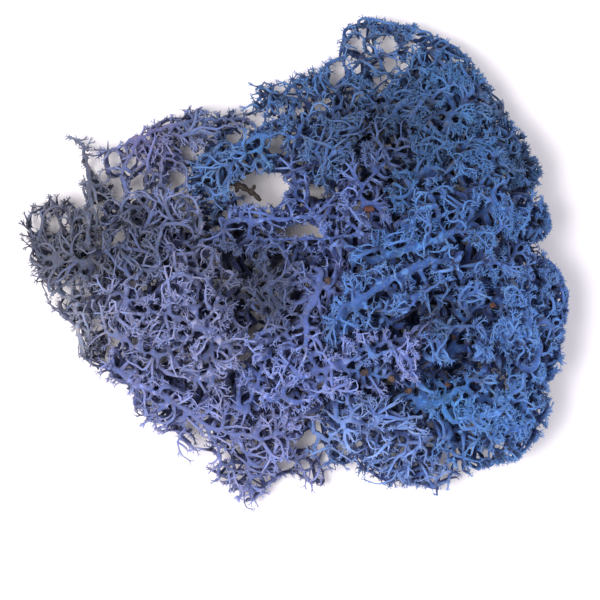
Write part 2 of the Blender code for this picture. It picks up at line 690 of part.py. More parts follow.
def grow_stalk(make, seed, stem_radius, others, places):
    """Branches of one stalk: for each its points and the radii there."""
    rng = np.random.default_rng(seed)
    stems = make()
    own = segments(stems)
    nodes, parents = tree_of_stems(stems, STEP)
    fixed = len(nodes)
    pulls = scatter(rng, own, others, places, TWIGS_PER_STALK, SPACING)

    def allowed(points):
        near = distance_to_segments(points, *own)
        far = distance_to_segments(points, *others)
        good = (far - near > 2 * BORDER) & in_room(points, 0.0)
        return good & clear_of_scraps(points, places)

    nodes, parents = grow(nodes, parents, pulls, STEP, REACH, allowed)
    floor = [stem_radius if i < fixed else TIP_RADIUS for i in range(len(nodes))]
    radii = thickness(nodes, parents, floor)
    branches = []
    carried_by = {}
    for whole in branches_of(nodes, parents, radii):
        if len(whole) < 2:
            continue
        line = thinned(whole, nodes, SLACK)
        points = [nodes[i] for i in line]
        widths = [radii[i] for i in line]
        if whole[0] in carried_by:
            points[0] = nearest_on(carried_by[whole[0]], points[0])
            widths[0] = min(widths[0], 1.15 * widths[1])
        for i in whole[1 if branches else 0:]:
            carried_by[i] = points
        branches.append((points, widths))
    return branches


def dotted(branches):
    """Close-set points along all the branches, each with the radius there."""
    dots = []
    for points, widths in branches:
        for a, b, ra, rb in zip(points[:-1], points[1:], widths[:-1], widths[1:]):
            a, b = np.array(a, float), np.array(b, float)
            count = max(2, int(np.linalg.norm(b - a) / 0.3))
            for t in np.linspace(0, 1, count):
                dots.append((*(a + t * (b - a)), ra + t * (rb - ra)))
    return np.array(dots)


def lean_on_neighbours(stalks, places):
    """Add a short twig between stalks that lie near each other but do not meet."""
    names = list(stalks)
    dots = {name: dotted(stalks[name]) for name in names}
    for k, name in enumerate(names):
        for other in names[k + 1:]:
            one, two = (name, other) if name != "dead_twig" else (other, name)
            add_leaning_twig(one, two, stalks, dots, places)


def add_leaning_twig(name, other, stalks, dots, places):
    """Grow one twig of a stalk until it all but touches the other stalk."""
    mine, yours = dots[name], dots[other]
    gap = np.linalg.norm(mine[:, None, :3] - yours[None, :, :3], axis=2)
    gap = gap - mine[:, None, 3] - yours[None, :, 3]
    if not 0.45 < gap.min() < LEAN_REACH:
        return
    for at in np.argsort(gap, axis=None)[:30000:23]:
        i, j = np.unravel_index(at, gap.shape)
        a, b, rb = mine[i, :3], yours[j, :3], yours[j, 3]
        line = (b - a) / np.linalg.norm(b - a)
        root = a
        end = b - line * (rb + CLEARANCE + 0.04)
        width = float(min(0.36, mine[i, 3]))
        count = max(3, int(np.linalg.norm(end - root) / 0.25))
        path = root + np.linspace(0, 1, count)[:, None] * (end - root)
        if gap[i, j] > LEAN_REACH or end[2] < 1.0 or root[2] < 1.0:
            continue
        if not clear_of_scraps(path, places, twig=other != "dead_twig").all():
            continue
        fits = True
        for third in dots:
            if third == name:
                continue
            cloud = dots[third]
            room = np.linalg.norm(path[:, None] - cloud[None, :, :3], axis=2)
            room = (room - cloud[None, :, 3]).min()
            if room < (CLEARANCE if third == other else width + CLEARANCE):
                fits = False
        if fits:
            stalks[name].append(([root, end], [width + 0.06, width - 0.06]))
            dots[name] = dotted(stalks[name])
            return


def open_edges(data):
    """Number of edges that don't lie between exactly two faces."""
    mesh = bmesh.new()
    mesh.from_mesh(data)
    count = sum(1 for edge in mesh.edges if len(edge.link_faces) != 2)
    mesh.free()
    return count


def body_of(name, branches, colour, sides=3):
    """Join the branches of one stalk, turning them a little where they don't join well."""
    for attempt in range(8):
        pieces = []
        for k, (points, widths) in enumerate(branches):
            pieces.append(tube(name + "_" + str(k), points, widths, sides, 0.31 * attempt))
        body = joined(name, pieces)
        if open_edges(body.data) == 0:
            break
        data = body.data
        bpy.data.objects.remove(body)
        bpy.data.meshes.remove(data)
    body.data.materials.append(dye(name, colour))
    return body


def scrap(name, place, size, turn, seed):
    """Small flat flake with a broken edge."""
    rng = np.random.default_rng(seed)
    mesh = bmesh.new()
    long, wide, thick = size
    for layer, shrink in ((-0.5, 0.86), (0.5, 0.78)):
        for k in range(6):
            angle = 2 * math.pi * (k + 0.5 * layer) / 6 + rng.uniform(-0.2, 0.2)
            grow_by = shrink * rng.uniform(0.84, 1.0)
            mesh.verts.new((
                0.5 * long * grow_by * math.cos(angle) * MM,
                0.5 * wide * grow_by * math.sin(angle) * MM,
                thick * (layer + rng.uniform(-0.08, 0.08)) * MM,
            ))
    bmesh.ops.convex_hull(mesh, input=mesh.verts[:])
    bmesh.ops.delete(mesh, geom=[v for v in mesh.verts if not v.link_faces], context="VERTS")
    bmesh.ops.triangulate(mesh, faces=mesh.faces[:])
    bmesh.ops.recalc_face_normals(mesh, faces=mesh.faces[:])
    turned = Matrix.Rotation(math.radians(turn), 4, "Z") @ Matrix.Rotation(0.3, 4, "X")
    mesh.transform(Matrix.Translation(Vector(place) * MM) @ turned)
    data = bpy.data.meshes.new(name)
    mesh.to_mesh(data)
    mesh.free()
    item = bpy.data.objects.new(name, data)
    bpy.context.scene.collection.objects.link(item)
    item.data.materials.append(dye(name, (0.2, 0.1, 0.045), 0.85))
    return item


def lower_onto(item, bodies):
    """Let a piece down until it all but touches one of the bodies."""
    trees = []
    for body in bodies:
        mesh = bmesh.new()
        mesh.from_mesh(body.data)
        trees.append(BVHTree.FromBMesh(mesh))
        mesh.free()
    spots = []
    for face in item.data.polygons:
        corners = [item.data.vertices[i].co for i in face.vertices]
        for weights in ((1, 0, 0), (0.5, 0.5, 0), (0, 0.5, 0.5), (0.5, 0, 0.5), (0.34, 0.33, 0.33)):
            spots.append(sum((c * w for c, w in zip(corners, weights)), Vector()))
    drop = -1.6
    while drop < 4.0:
        down = Vector((0, 0, -drop * MM))
        gap = min(tree.find_nearest(spot + down)[3] for tree in trees for spot in spots)
        if gap < (CLEARANCE + 0.08) * MM:
            break
        drop += 0.05
    item.data.transform(Matrix.Translation((0, 0, -drop * MM)))


def dead_twig():
    """Branches of the short dead twig, with the stubs of three side twigs."""
    branches = [(DEAD_TWIG, [0.42, 0.5, 0.5, 0.45, 0.3])]
    for k, (dx, dy, dz) in ((1, (0.3, 1.5, 0.5)), (2, (-0.6, -1.3, 0.6)), (3, (0.9, 1.0, 0.4))):
        root = DEAD_TWIG[k]
        end = (root[0] + dx, root[1] + dy, root[2] + dz)
        branches.append(([root, end], [0.36, 0.26]))
    return branches


def main():
    for item in list(bpy.data.objects):
        bpy.data.objects.remove(item)
    places = scrap_places()
    stalks = {}
    colours = {}
    for name, make, seed, colour, stem_radius in STALKS:
        rest = [stem for other, maker, _, _, _ in STALKS if other != name for stem in maker()]
        stalks[name] = grow_stalk(make, seed, stem_radius, segments(rest), places)
        colours[name] = colour
    stalks["dead_twig"] = dead_twig()
    colours["dead_twig"] = (0.035, 0.022, 0.016)
    lean_on_neighbours(stalks, places)
    bodies = [body_of(name, stalks[name], colours[name]) for name in stalks]
    pieces = []
    for k, (place, (_, _, long, wide, thick, turn)) in enumerate(zip(places, SCRAPS)):
        flake = scrap("scrap_" + str(k + 1), place, (long, wide, thick), turn, 40 + k)
        lower_onto(flake, bodies)
        pieces.append(flake)
    clump = bpy.data.objects.new("clump", None)
    bpy.context.scene.collection.objects.link(clump)
    clump.location = (-MIDDLE[0] * MM, -MIDDLE[1] * MM, 0)
    for item in bodies + pieces:
        item.parent = clump


main()
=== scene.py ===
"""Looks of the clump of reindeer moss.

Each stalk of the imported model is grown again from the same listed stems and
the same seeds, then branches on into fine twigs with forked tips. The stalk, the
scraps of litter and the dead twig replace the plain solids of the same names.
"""

import math

import bpy
import numpy as np
from mathutils import Matrix, Vector, kdtree

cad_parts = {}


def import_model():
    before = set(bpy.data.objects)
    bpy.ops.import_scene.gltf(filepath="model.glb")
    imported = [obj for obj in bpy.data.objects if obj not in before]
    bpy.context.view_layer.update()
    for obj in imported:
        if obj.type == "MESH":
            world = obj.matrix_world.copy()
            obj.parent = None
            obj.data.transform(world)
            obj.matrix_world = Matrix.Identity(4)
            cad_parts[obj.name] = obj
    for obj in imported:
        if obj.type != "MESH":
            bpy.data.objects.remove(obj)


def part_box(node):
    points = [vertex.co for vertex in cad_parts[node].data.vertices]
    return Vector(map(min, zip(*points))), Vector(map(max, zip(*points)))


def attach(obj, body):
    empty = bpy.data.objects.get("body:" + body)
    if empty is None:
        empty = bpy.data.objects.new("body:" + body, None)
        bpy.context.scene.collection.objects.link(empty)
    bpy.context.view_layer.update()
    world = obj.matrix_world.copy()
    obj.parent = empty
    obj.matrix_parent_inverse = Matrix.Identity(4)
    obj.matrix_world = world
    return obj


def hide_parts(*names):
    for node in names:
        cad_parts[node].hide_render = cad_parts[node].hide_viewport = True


MM = 0.001

# Sizes of the coarse growth in millimetres, the same as in the solids.
TIP_RADIUS = 0.34
STEM_RADIUS = 0.7
FINE_STEM_RADIUS = 0.55
MOST_RADIUS = 0.95
RADIUS_POWER = 3.2
STEP = 1.6
REACH = 0.85
SPACING = 2.5
TWIGS_PER_STALK = 44
BORDER = 0.52
CLEARANCE = 0.3
FIRST_SEED = 11

# Sizes of the fine growth, in millimetres where they are lengths.
FINE_TIP = 0.108
FINE_POWER = 2.0
FINE_BORDER = 0.1
LOWER_STEP = 1.15
LOWER_REACH = 0.8
LOWER_SPACING = 1.18
LOWER_RADIUS = 0.58
ONWARD_PULL = 0.7
THINNING = 0.06
LACE_SPACING = 1.7
LANE = 0.55
STOUT = 0.31
VOXEL = 0.37
LOWEST = 0.02
HIGHEST = 27.4
OPEN_SKY = 99.0

# Raster in plan, the cells in which twigs crowd each other, and the numbers kept for each stalk.
CELL = 0.25
LEFT, FRONT, COLUMNS, ROWS = -50.0, -46.0, 400, 368
CROWD, CROWD_COLUMNS, CROWD_ROWS, CROWD_LAYERS = 0.34, 300, 276, 90
NODE_NUMBERS = 65536

# Kinds of nodes: the stems and the first twigs are as in the solids.
STEM, TWIG, LOWER, FILLER, SPRAY = range(5)

# How each kind of fine twig grows: the kinds that it starts from, how far apart and how deep,
# length of a step, steps between one fork and the next, angle of the forks, share of triple
# forks, free room round it, how far under the surface it spreads and how fast it rises there,
# share of pairs of shoots, and whether it stays under the stouter twigs.
SPRAYS = {"kind": SPRAY, "from": (STEM, TWIG), "gap": 2.0, "deepest": 6.0, "step": 0.75,
          "steps": (2, 2, 1, 1, 1, 1), "spread": 0.6, "triple": 0.3, "room": 0.8, "under": 1.5,
          "rise": 0.35, "both": 0.55, "roofed": False}
FILLING = {"kind": FILLER, "from": (TWIG, LOWER, SPRAY), "gap": 1.95, "deepest": 7.0, "step": 0.7,
           "steps": (2, 1, 1, 1), "spread": 0.62, "triple": 0.2, "room": 0.68, "under": 2.8,
           "rise": 0.3, "both": 0.3, "roofed": True}

# Turns, sideways and upwards, that a shoot tries for its next step.
TURNS = ((0, 0), (0.22, 0), (-0.22, 0), (0, 0.25), (0, -0.25), (0.45, 0), (-0.45, 0),
         (0.3, 0.3), (-0.3, 0.3), (0.3, -0.3), (-0.3, -0.3))

# Place of the camera and width of what it sees, in metres.
CAMERA = (0.00075, -0.0067, 0.9)
VIEW_WIDTH = 0.1

# The plan outline of the clump, clockwise from the upper right.
OUTLINE = [
    (32, 31), (34, 28.5), (36, 26), (37, 23), (39, 21), (40, 18), (42, 16), (41.5, 13),
    (40, 12), (42, 11), (43, 8), (43, 5), (41, 3), (43, 0.5), (45, -2), (46, -4),
    (46.3, -7.5), (45.5, -10), (45.5, -15), (45, -18), (42.5, -20), (43.5, -23.5),
    (43, -27), (42, -29), (40, -31), (37, -33.5), (33, -34.5), (30.3, -36),
    (27.5, -37.5), (24, -40), (20.5, -37.5), (16.5, -38), (12, -37), (10, -34.5),
    (7, -35.5), (5, -38), (3, -39), (0, -36), (-3, -37), (-5, -41), (-7, -42.8),
    (-9, -40.5), (-11, -37.5), (-13, -38), (-16, -35.5), (-13, -33), (-16, -32),
    (-17, -34), (-19, -32.5), (-20, -29), (-24, -28.5), (-27, -25.5), (-27, -22.5),
    (-30, -20.5), (-32.5, -19), (-35, -17), (-36.5, -15.5), (-36, -13), (-37.5, -10.5),
    (-40, -9), (-41.5, -6.5), (-42, -4.5), (-44, -2.5), (-44, 0), (-45.7, 4),
    (-45.7, 8), (-43, 10), (-41, 11.5), (-38, 12), (-37, 10), (-35, 8), (-35.5, 13),
    (-35.5, 18), (-38.5, 21.7), (-32, 20.5), (-27, 20), (-24.5, 23.5), (-20, 25),
    (-16, 27), (-14, 25), (-10, 26), (-7, 27), (-7.5, 30), (-6, 31), (-4, 31),
    (-1, 30.5), (1, 32.5), (4, 32.5), (7, 35), (7, 36.5), (8, 39), (10, 41), (12, 41.6),
    (16, 41), (21, 40), (26, 37.5), (30, 34),
]

# Gaps that go right through to the surface below: x, y, half width, half depth.
OPENINGS = [
    (-4.8, 12.4, 3.6, 3.2), (0.8, 5.4, 3.2, 0.6), (-10, 21, 0.9, 0.9),
    (-5.5, 23.7, 0.9, 0.9), (-2.5, 19.5, 1.0, 1.0), (-17.5, 18.5, 1.0, 1.0),
    (-19, 14, 0.9, 1.0), (-24, 10, 1.0, 0.9), (-33, 15.7, 1.0, 1.2), (-30, 17, 1.0, 1.0),
    (-26, 13.4, 0.9, 0.9), (-27, 17, 0.8, 0.9), (-29, 11.5, 0.9, 1.0), (-40, 6, 0.9, 1.4),
    (-43, 6.5, 0.9, 1.2), (-28.5, 4, 0.8, 0.8), (-40, -6, 0.9, 0.9), (-37.5, -4.5, 0.8, 0.8),
    (16, 36.4, 1.4, 1.3), (16.5, 33.2, 1.0, 0.8), (11.5, 36.3, 0.7, 0.9), (8.5, 33, 1.0, 0.9),
    (7, 30.6, 0.9, 0.8), (3.5, 11.5, 0.8, 0.8), (-17.5, -27.5, 0.8, 0.8),
    (-15.5, -30, 0.9, 0.8), (-1, -34, 1.2, 1.0), (2, -30.5, 0.9, 0.9),
]

# The largest gap and the slit below it, as the fine twigs leave them: x, y, half width, half depth.
FINE_OPENINGS = [(-5.2, 12.1, 4.6, 2.9), (0.9, 5.3, 3.7, 0.7)]

# Deep shaded gaps: x, y, half width, half depth, height of what lies below.
HOLLOWS = [
    (27.5, 13.2, 2.2, 1.6, 9), (29, 2.4, 2.0, 1.8, 10), (23.5, -1.5, 1.2, 1.6, 10),
    (19.5, -4.2, 2.0, 1.6, 11), (14, -5.6, 2.0, 1.6, 12), (20.5, -8.6, 2.4, 2.2, 9),
    (27, -17.6, 2.6, 2.0, 9), (24, -21.0, 2.2, 1.8, 8), (17, -21, 2.0, 1.6, 10),
]

# Height of the clump above the surface at places in plan: x, y, height.
HEIGHTS = [
    (-44, 3, 8), (-39, 9, 9), (-39, -8, 9), (-31, 19, 8), (-33, 8, 13), (-28, -5, 17),
    (-31, -17, 10), (-20, 23, 10), (-19, 12, 14), (-15, -10, 20), (-20, -24, 13),
    (-8, -37, 8), (-6, 26, 12), (-4, 5, 17), (0, -10, 22), (-1, -28, 15), (3, -37, 7),
    (10, 39, 8), (7, 29, 13), (9, 15, 21), (12, 0, 25), (12, -15, 26), (12, -30, 17),
    (24, -38, 8), (25, 24, 20), (29, 12, 26), (31, 0, 28), (31, -12, 28), (31, -25, 24),
    (40, 14, 20), (44, -5, 20), (44, -15, 20), (42, -26, 17), (20, 36, 11), (32, 30, 13),
]

# Dips in the surface: x, y, half width, half depth, how far down in millimetres.
VALLEYS = [
    (-3, -4, 5.5, 5.0, 6), (-8, 2, 4.0, 3.0, 5), (-6, -10, 3.5, 4.0, 3), (15, -7, 4.5, 3.0, 4),
    (36, -18.5, 4.0, 2.2, 4), (27, -19, 4.0, 2.5, 4), (26, 14, 4.0, 2.5, 4), (35, 1, 3.5, 1.6, 3),
    (38, 12, 3.0, 1.5, 4), (12, 12, 3.5, 3.0, 3), (-14, 3, 3.0, 4.0, 3), (5, 12, 3.0, 3.0, 3),
]

# Thin places where the ground shows through the clump in small gaps: x, y, radius, how open.
LACE = [
    (11.7, 36.2, 5.0, 0.75), (6.5, 31.0, 4.0, 0.7), (15.5, 33.3, 4.0, 0.7), (24, 37.5, 3.0, 0.7),
    (-3.7, 28.7, 4.5, 0.9), (3.3, 29.0, 3.5, 0.7), (-9.5, 25.3, 4.0, 0.5), (-18, 25, 4.0, 0.5),
    (-25.3, 21.2, 4.0, 0.5), (-33, 15, 4.5, 0.45), (-26.2, 12.8, 4.0, 0.4), (-17.5, 12.5, 3.5, 0.5),
    (-21.7, 16, 3.5, 0.45), (-9.2, 20.8, 3.0, 0.5), (-1.2, 20.8, 3.0, 0.7), (-5, 8.3, 2.5, 0.5),
    (3.3, 12.5, 2.5, 0.8), (-40, 6.5, 4.5, 0.45), (-34.5, 6.5, 4.0, 0.5), (-38.3, -5.8, 4.0, 0.55),
    (-34.2, -11.3, 4.0, 0.6), (-28, -15, 3.0, 0.5), (-25.3, -12.2, 2.5, 0.5), (-25.8, -24.7, 4.0, 0.7),
    (-17.5, -27.5, 4.0, 0.5), (-12, -31.5, 4.5, 0.7), (-7, -37, 3.0, 0.7), (4.5, -31.5, 4.0, 0.85),
    (10.5, -33.3, 4.5, 1.0), (15.5, -33, 3.0, 0.6), (30, -33.7, 5.0, 1.0), (24.2, -37.2, 3.0, 1.0),
]

# What the fine twigs are like at places in plan: x, y, how tufted they are and how much
# they join up into a net.
REGIONS = [
    (34, 28, 0.9, 0.0), (36, 17, 0.9, 0.0), (38, 6, 0.9, 0.0), (41, -5, 0.9, 0.0),
    (41, -15, 0.9, 0.0), (38, -27, 0.8, 0.1), (27, -32, 0.5, 0.2), (24, 24, 0.6, 0.2),
    (28, 10, 0.3, 0.4), (28, -3, 0.3, 0.4), (29, -14, 0.3, 0.4), (16, 3, 0.1, 0.6),
    (18, -8, 0.1, 0.6), (20, -20, 0.1, 0.5), (8, -12, 0.1, 0.6), (2, 3, 0.1, 0.5),
    (4, 16, 0.1, 0.6), (14, 20, 0.3, 0.4), (14, 36, 0.2, 0.5), (-5, 24, 0.2, 0.6),
    (-20, 20, 0.1, 0.7), (-22, 6, 0.1, 0.7), (-36, 4, 0.2, 0.5), (-34, -10, 0.1, 0.7),
    (-18, -8, 0.1, 0.8), (-20, -22, 0.1, 0.8), (-4, -20, 0.1, 0.7), (-6, -34, 0.2, 0.5),
    (10, -30, 0.2, 0.5),
]

# Stems of each stalk: places along each stem in millimetres.
STEMS = {
    # Spray that ends in the crown at the upper right.
    "podetium_upper_right": [
        [(17, 10, 9), (20, 14, 11), (21, 20, 12), (22.5, 26, 12), (25, 28.5, 10), (29, 31.5, 8)],
        [(21, 20, 12), (27, 22, 14), (33, 24, 10)],
        [(21, 20, 12), (16, 23.5, 12), (15, 28, 9)],
        [(22.5, 26, 12), (20, 31, 8), (21.5, 35, 6), (22.5, 38, 4.5)],
        [(22.5, 26, 12), (26, 24.6, 16), (31, 27.4, 12)],
        [(20, 14, 11), (22, 16.5, 5), (22, 18, -0.5)],
    ],
    # Stalk and crown of the first lobe of the right rim.
    "podetium_lobe_a": [
        [(18, 12.2, 18), (25, 15.3, 19), (30, 16.2, 18), (35, 16, 14), (38.5, 15.5, 11)],
        [(30, 16.2, 18), (33, 19.5, 12), (36.5, 19.5, 8)],
        [(30, 16.2, 18), (32.5, 14, 9), (33, 14, -0.5)],
    ],
    # Stalk and crown of the second lobe, with the upright stem beside it.
    "podetium_lobe_b": [
        [(13, 0.3, 18), (17, 1.5, 20), (21, 2.4, 22), (25, 4, 22.5), (24, 8, 22), (23, 11, 20)],
        [(25, 4, 22.5), (28, 6, 21), (31, 8, 19), (36, 8, 15), (39.5, 7.5, 11)],
        [(31, 8, 19), (34.5, 4.8, 13), (39, 3.8, 8)],
        [(31, 8, 19), (30, 8.5, 9), (30, 8, -0.5)],
    ],
    # Long forked stalk and crown of the third lobe.
    "podetium_lobe_c": [
        [(8, -9.5, 20), (10, -7.2, 21), (17, -2.5, 21), (21, -0.6, 20), (25, 0.4, 19),
         (30, -0.3, 18), (35, -2, 15), (41, -4, 11)],
        [(21, -0.6, 20), (22.7, -4, 20), (24.5, -7, 19)],
        [(10, -7.2, 21), (14, -8.2, 20), (16.5, -10, 18)],
        [(35, -2, 15), (37, -6.5, 11), (42, -8.5, 8)],
        [(35, -2, 15), (33, -1.2, 6), (32.5, -1, -0.5)],
    ],
    # Stalk and crown of the fourth lobe, with the slanting stem above it.
    "podetium_lobe_d": [
        [(22, -14.2, 16), (26, -14.6, 18), (31, -14.3, 18), (37, -14, 14), (41.5, -14.5, 10)],
        [(26, -14.6, 18), (28, -10.4, 20.5), (30.5, -7.6, 20), (33.6, -6.9, 18)],
        [(31, -14.3, 18), (35, -11.5, 9), (39, -11.5, 6)],
        [(31, -14.3, 18), (31, -13.5, 8), (31.5, -13, -0.5)],
        [(37, -14, 14), (39, -17.5, 9)],
    ],
    # Stalk and crown of the fifth lobe.
    "podetium_lobe_e": [
        [(21, -24.2, 13), (25, -23.5, 16), (28, -21.2, 18), (31, -18.6, 17)],
        [(21, -24.2, 13), (19.4, -21, 14.5)],
        [(25, -23.5, 16), (25.7, -20, 15.6)],
        [(28, -21.2, 18), (33, -23, 17), (38, -26.5, 12)],
        [(33, -23, 17), (35, -29, 9)],
        [(33, -23, 17), (32.5, -24, 8), (32, -24.5, -0.5)],
        [(25, -23.5, 16), (27, -29, 11), (29, -32.5, 7)],
    ],
    # Arching stalk with the open tips of the lower edge.
    "podetium_bottom": [
        [(10, -19, 10), (9.5, -23, 15), (9.5, -26, 16), (6.5, -29, 13), (6, -33.5, 7)],
        [(9.5, -26, 16), (14.5, -28, 14), (19, -26.8, 14), (20, -30.5, 11), (23.5, -37.5, 6)],
        [(14.5, -28, 14), (13, -31.5, 10), (13.5, -35, 6)],
        [(10, -19, 10), (11, -20.5, 4), (11.5, -21, -0.5)],
    ],
    # The two long bare stems that lie side by side across the middle.
    "podetium_middle": [
        [(-10, 6.9, 13), (-5, 7, 14), (0, 7.4, 15), (4, 7.8, 15.5), (9, 7, 16), (12, 4.6, 16)],
        [(-7, 4, 12), (-3, 3.8, 13), (1, 3.6, 14), (5, 3.9, 15), (12, 4.6, 16)],
        [(4, 7.8, 15.5), (1, 10.6, 15), (0.2, 15, 13)],
        [(9, 7, 16), (11, 11, 18), (13, 14, 17), (17, 17.6, 15)],
        [(11, 11, 18), (12.8, 9, 17), (13.4, 6.8, 16)],
        [(1, 3.6, 14), (0.5, 0.5, 9), (0.5, -1, 4)],
        [(-5, 7, 14), (-9, 4, 6), (-10, 2.5, -0.5)],
        [(12, 4.6, 16), (10, 2.5, 7), (9.5, 2, -0.5)],
    ],
    # Stout stems just below the middle; the lowest one lies on the surface.
    "podetium_lower_middle": [
        [(4.6, -1.5, 16), (4, -5.5, 18.5), (2.2, -9.5, 19), (2.5, -14, 19), (4, -18, 18),
         (4, -22, 15)],
        [(4, -18, 18), (8, -17.6, 19.5), (12.5, -14.4, 21), (17.5, -13, 19)],
        [(2.2, -9.5, 19), (-3, -13, 16), (-5, -18, 14), (-7, -23, 11)],
        [(2.2, -9.5, 19), (1.5, -9, 9), (3, -8.5, 0.3), (9, -8, 0.3)],
        [(2.2, -9.5, 19), (-2, -7.2, 17), (-6.5, -6.6, 14)],
        [(4, -5.5, 18.5), (6.3, -3.2, 17.2)],
        [(8, -17.6, 19.5), (12, -18.4, 18), (16.8, -19.3, 16)],
        [(2.5, -14, 19), (0, -16, 8), (-1, -18, -0.5)],
    ],
    # Flattened hub with radiating arms.
    "podetium_hub": [
        [(-10, -14.5, 14), (-13, -12.3, 15), (-15.5, -11, 15.5), (-18.5, -9.2, 15),
         (-22, -8.5, 14), (-25.5, -6.5, 13), (-29, -5.2, 11)],
        [(-15.5, -11, 15.5), (-16, -7, 15), (-15.3, -2.5, 13), (-17, 3, 11)],
        [(-15.5, -11, 15.5), (-12.6, -7.5, 15), (-11.5, -2.5, 13)],
        [(-15.5, -11, 15.5), (-18.5, -14, 13), (-22, -15.6, 12), (-27, -14, 11), (-31, -11.6, 9)],
        [(-13, -12.3, 15), (-14, -16, 13), (-13, -20, 12)],
        [(-15.5, -11, 15.5), (-14.5, -10, 6), (-14, -9.5, -0.5)],
        [(-22, -8.5, 14), (-23, -8, 6), (-23.5, -7.5, -0.5)],
    ],
    # Thin fringe of the bottom left edge.
    "podetium_fringe": [
        [(-30, -17.5, 7), (-26, -20.6, 9), (-22, -22, 10), (-17.5, -24.8, 10), (-14.5, -27.3, 10),
         (-12.3, -31.5, 7), (-12.3, -35.5, 4.5)],
        [(-14.5, -27.3, 10), (-10, -28.6, 10), (-7.6, -32, 8), (-7, -40, 4)],
        [(-10, -28.6, 10), (-5, -29.6, 10), (-1.5, -28.5, 10), (0.6, -32.6, 7), (2.8, -37, 4)],
        [(-17.5, -24.8, 10), (-18.3, -28.8, 6)],
        [(-17.5, -24.8, 10), (-17.8, -24, 4), (-18, -23.5, -0.5)],
        [(-5, -29.6, 10), (-4.2, -28.6, 4), (-4, -28, -0.5)],
    ],
    # Felted dark stem and the tips of the far left.
    "podetium_left": [
        [(-34.2, 16, 8), (-33.8, 12, 10), (-34, 8, 11), (-34, 4.5, 11), (-33.3, 0.5, 10),
         (-37, -3, 9), (-36, -8.5, 8), (-34, -13.5, 6)],
        [(-33.3, 0.5, 10), (-38.5, 0, 9), (-42.5, 1.5, 7), (-44.4, 6, 5)],
        [(-34, 8, 11), (-37.5, 9, 7), (-41, 9.8, 5)],
        [(-37, -3, 9), (-40.4, -5.6, 6)],
        [(-33.8, 12, 10), (-30.5, 13.5, 9)],
        [(-33.3, 0.5, 10), (-34, 1, 4), (-34.3, 1.2, -0.5)],
        [(-34.2, 16, 8), (-35.2, 20, 5.5), (-37.8, 21.4, 4)],
    ],
    # Band along the upper left edge.
    "podetium_upper_left": [
        [(-30.5, 18.6, 6), (-25.5, 21, 8), (-20, 23, 8.5), (-15, 24, 9), (-10.5, 24, 9)],
        [(-20, 23, 8.5), (-21.5, 17.5, 10), (-22, 13, 11), (-26, 8, 10), (-29, 6.5, 9)],
        [(-25.5, 21, 8), (-28.5, 14.5, 9)],
        [(-15, 24, 9), (-14.6, 20.5, 9)],
        [(-22, 13, 11), (-17.8, 10, 11.5), (-16.4, 6.8, 11.5)],
        [(-26, 8, 10), (-28.2, 3, 12), (-26, -0.6, 13)],
        [(-21.5, 17.5, 10), (-22.5, 17.5, 4), (-23, 17.5, -0.5)],
    ],
    # Open frond at the top.
    "podetium_frond": [
        [(-5, 28, 6), (0, 27, 8), (5.5, 28.2, 9), (9, 31, 8), (11.5, 34, 7), (12.6, 37, 6),
         (14, 39.4, 5)],
        [(11.5, 34, 7), (15, 34.6, 7), (18.6, 35.4, 6)],
        [(9, 31, 8), (12.5, 30.4, 8)],
        [(5.5, 28.2, 9), (5.2, 29.5, 4), (5, 30, -0.5)],
        [(9, 31, 8), (8.2, 36, 6), (9.4, 39.4, 5)],
        [(-5, 28, 6), (-5.5, 29.8, 5)],
        [(14, 39.4, 5), (17.5, 39.6, 5)],
    ],
    # Hanging branch and the net above the middle.
    "podetium_upper_middle": [
        [(-14.2, 16.4, 9), (-9.5, 19, 11), (-5.2, 21.4, 12), (1, 20.8, 13), (7, 20, 14),
         (11, 22, 12)],
        [(-5.2, 21.4, 12), (-5.2, 17.4, 11), (-7.6, 16, 9)],
        [(-14.2, 16.4, 9), (-15, 12.6, 10), (-12.4, 10.6, 11)],
        [(7, 20, 14), (6, 15.8, 15)],
        [(1, 20.8, 13), (2.5, 24.4, 12), (8, 25.6, 11)],
        [(-9.5, 19, 11), (-11.6, 20.4, 9), (-12, 22.2, 7)],
        [(1, 20.8, 13), (1.5, 22.5, 5), (1.5, 23, -0.5)],
    ],
}
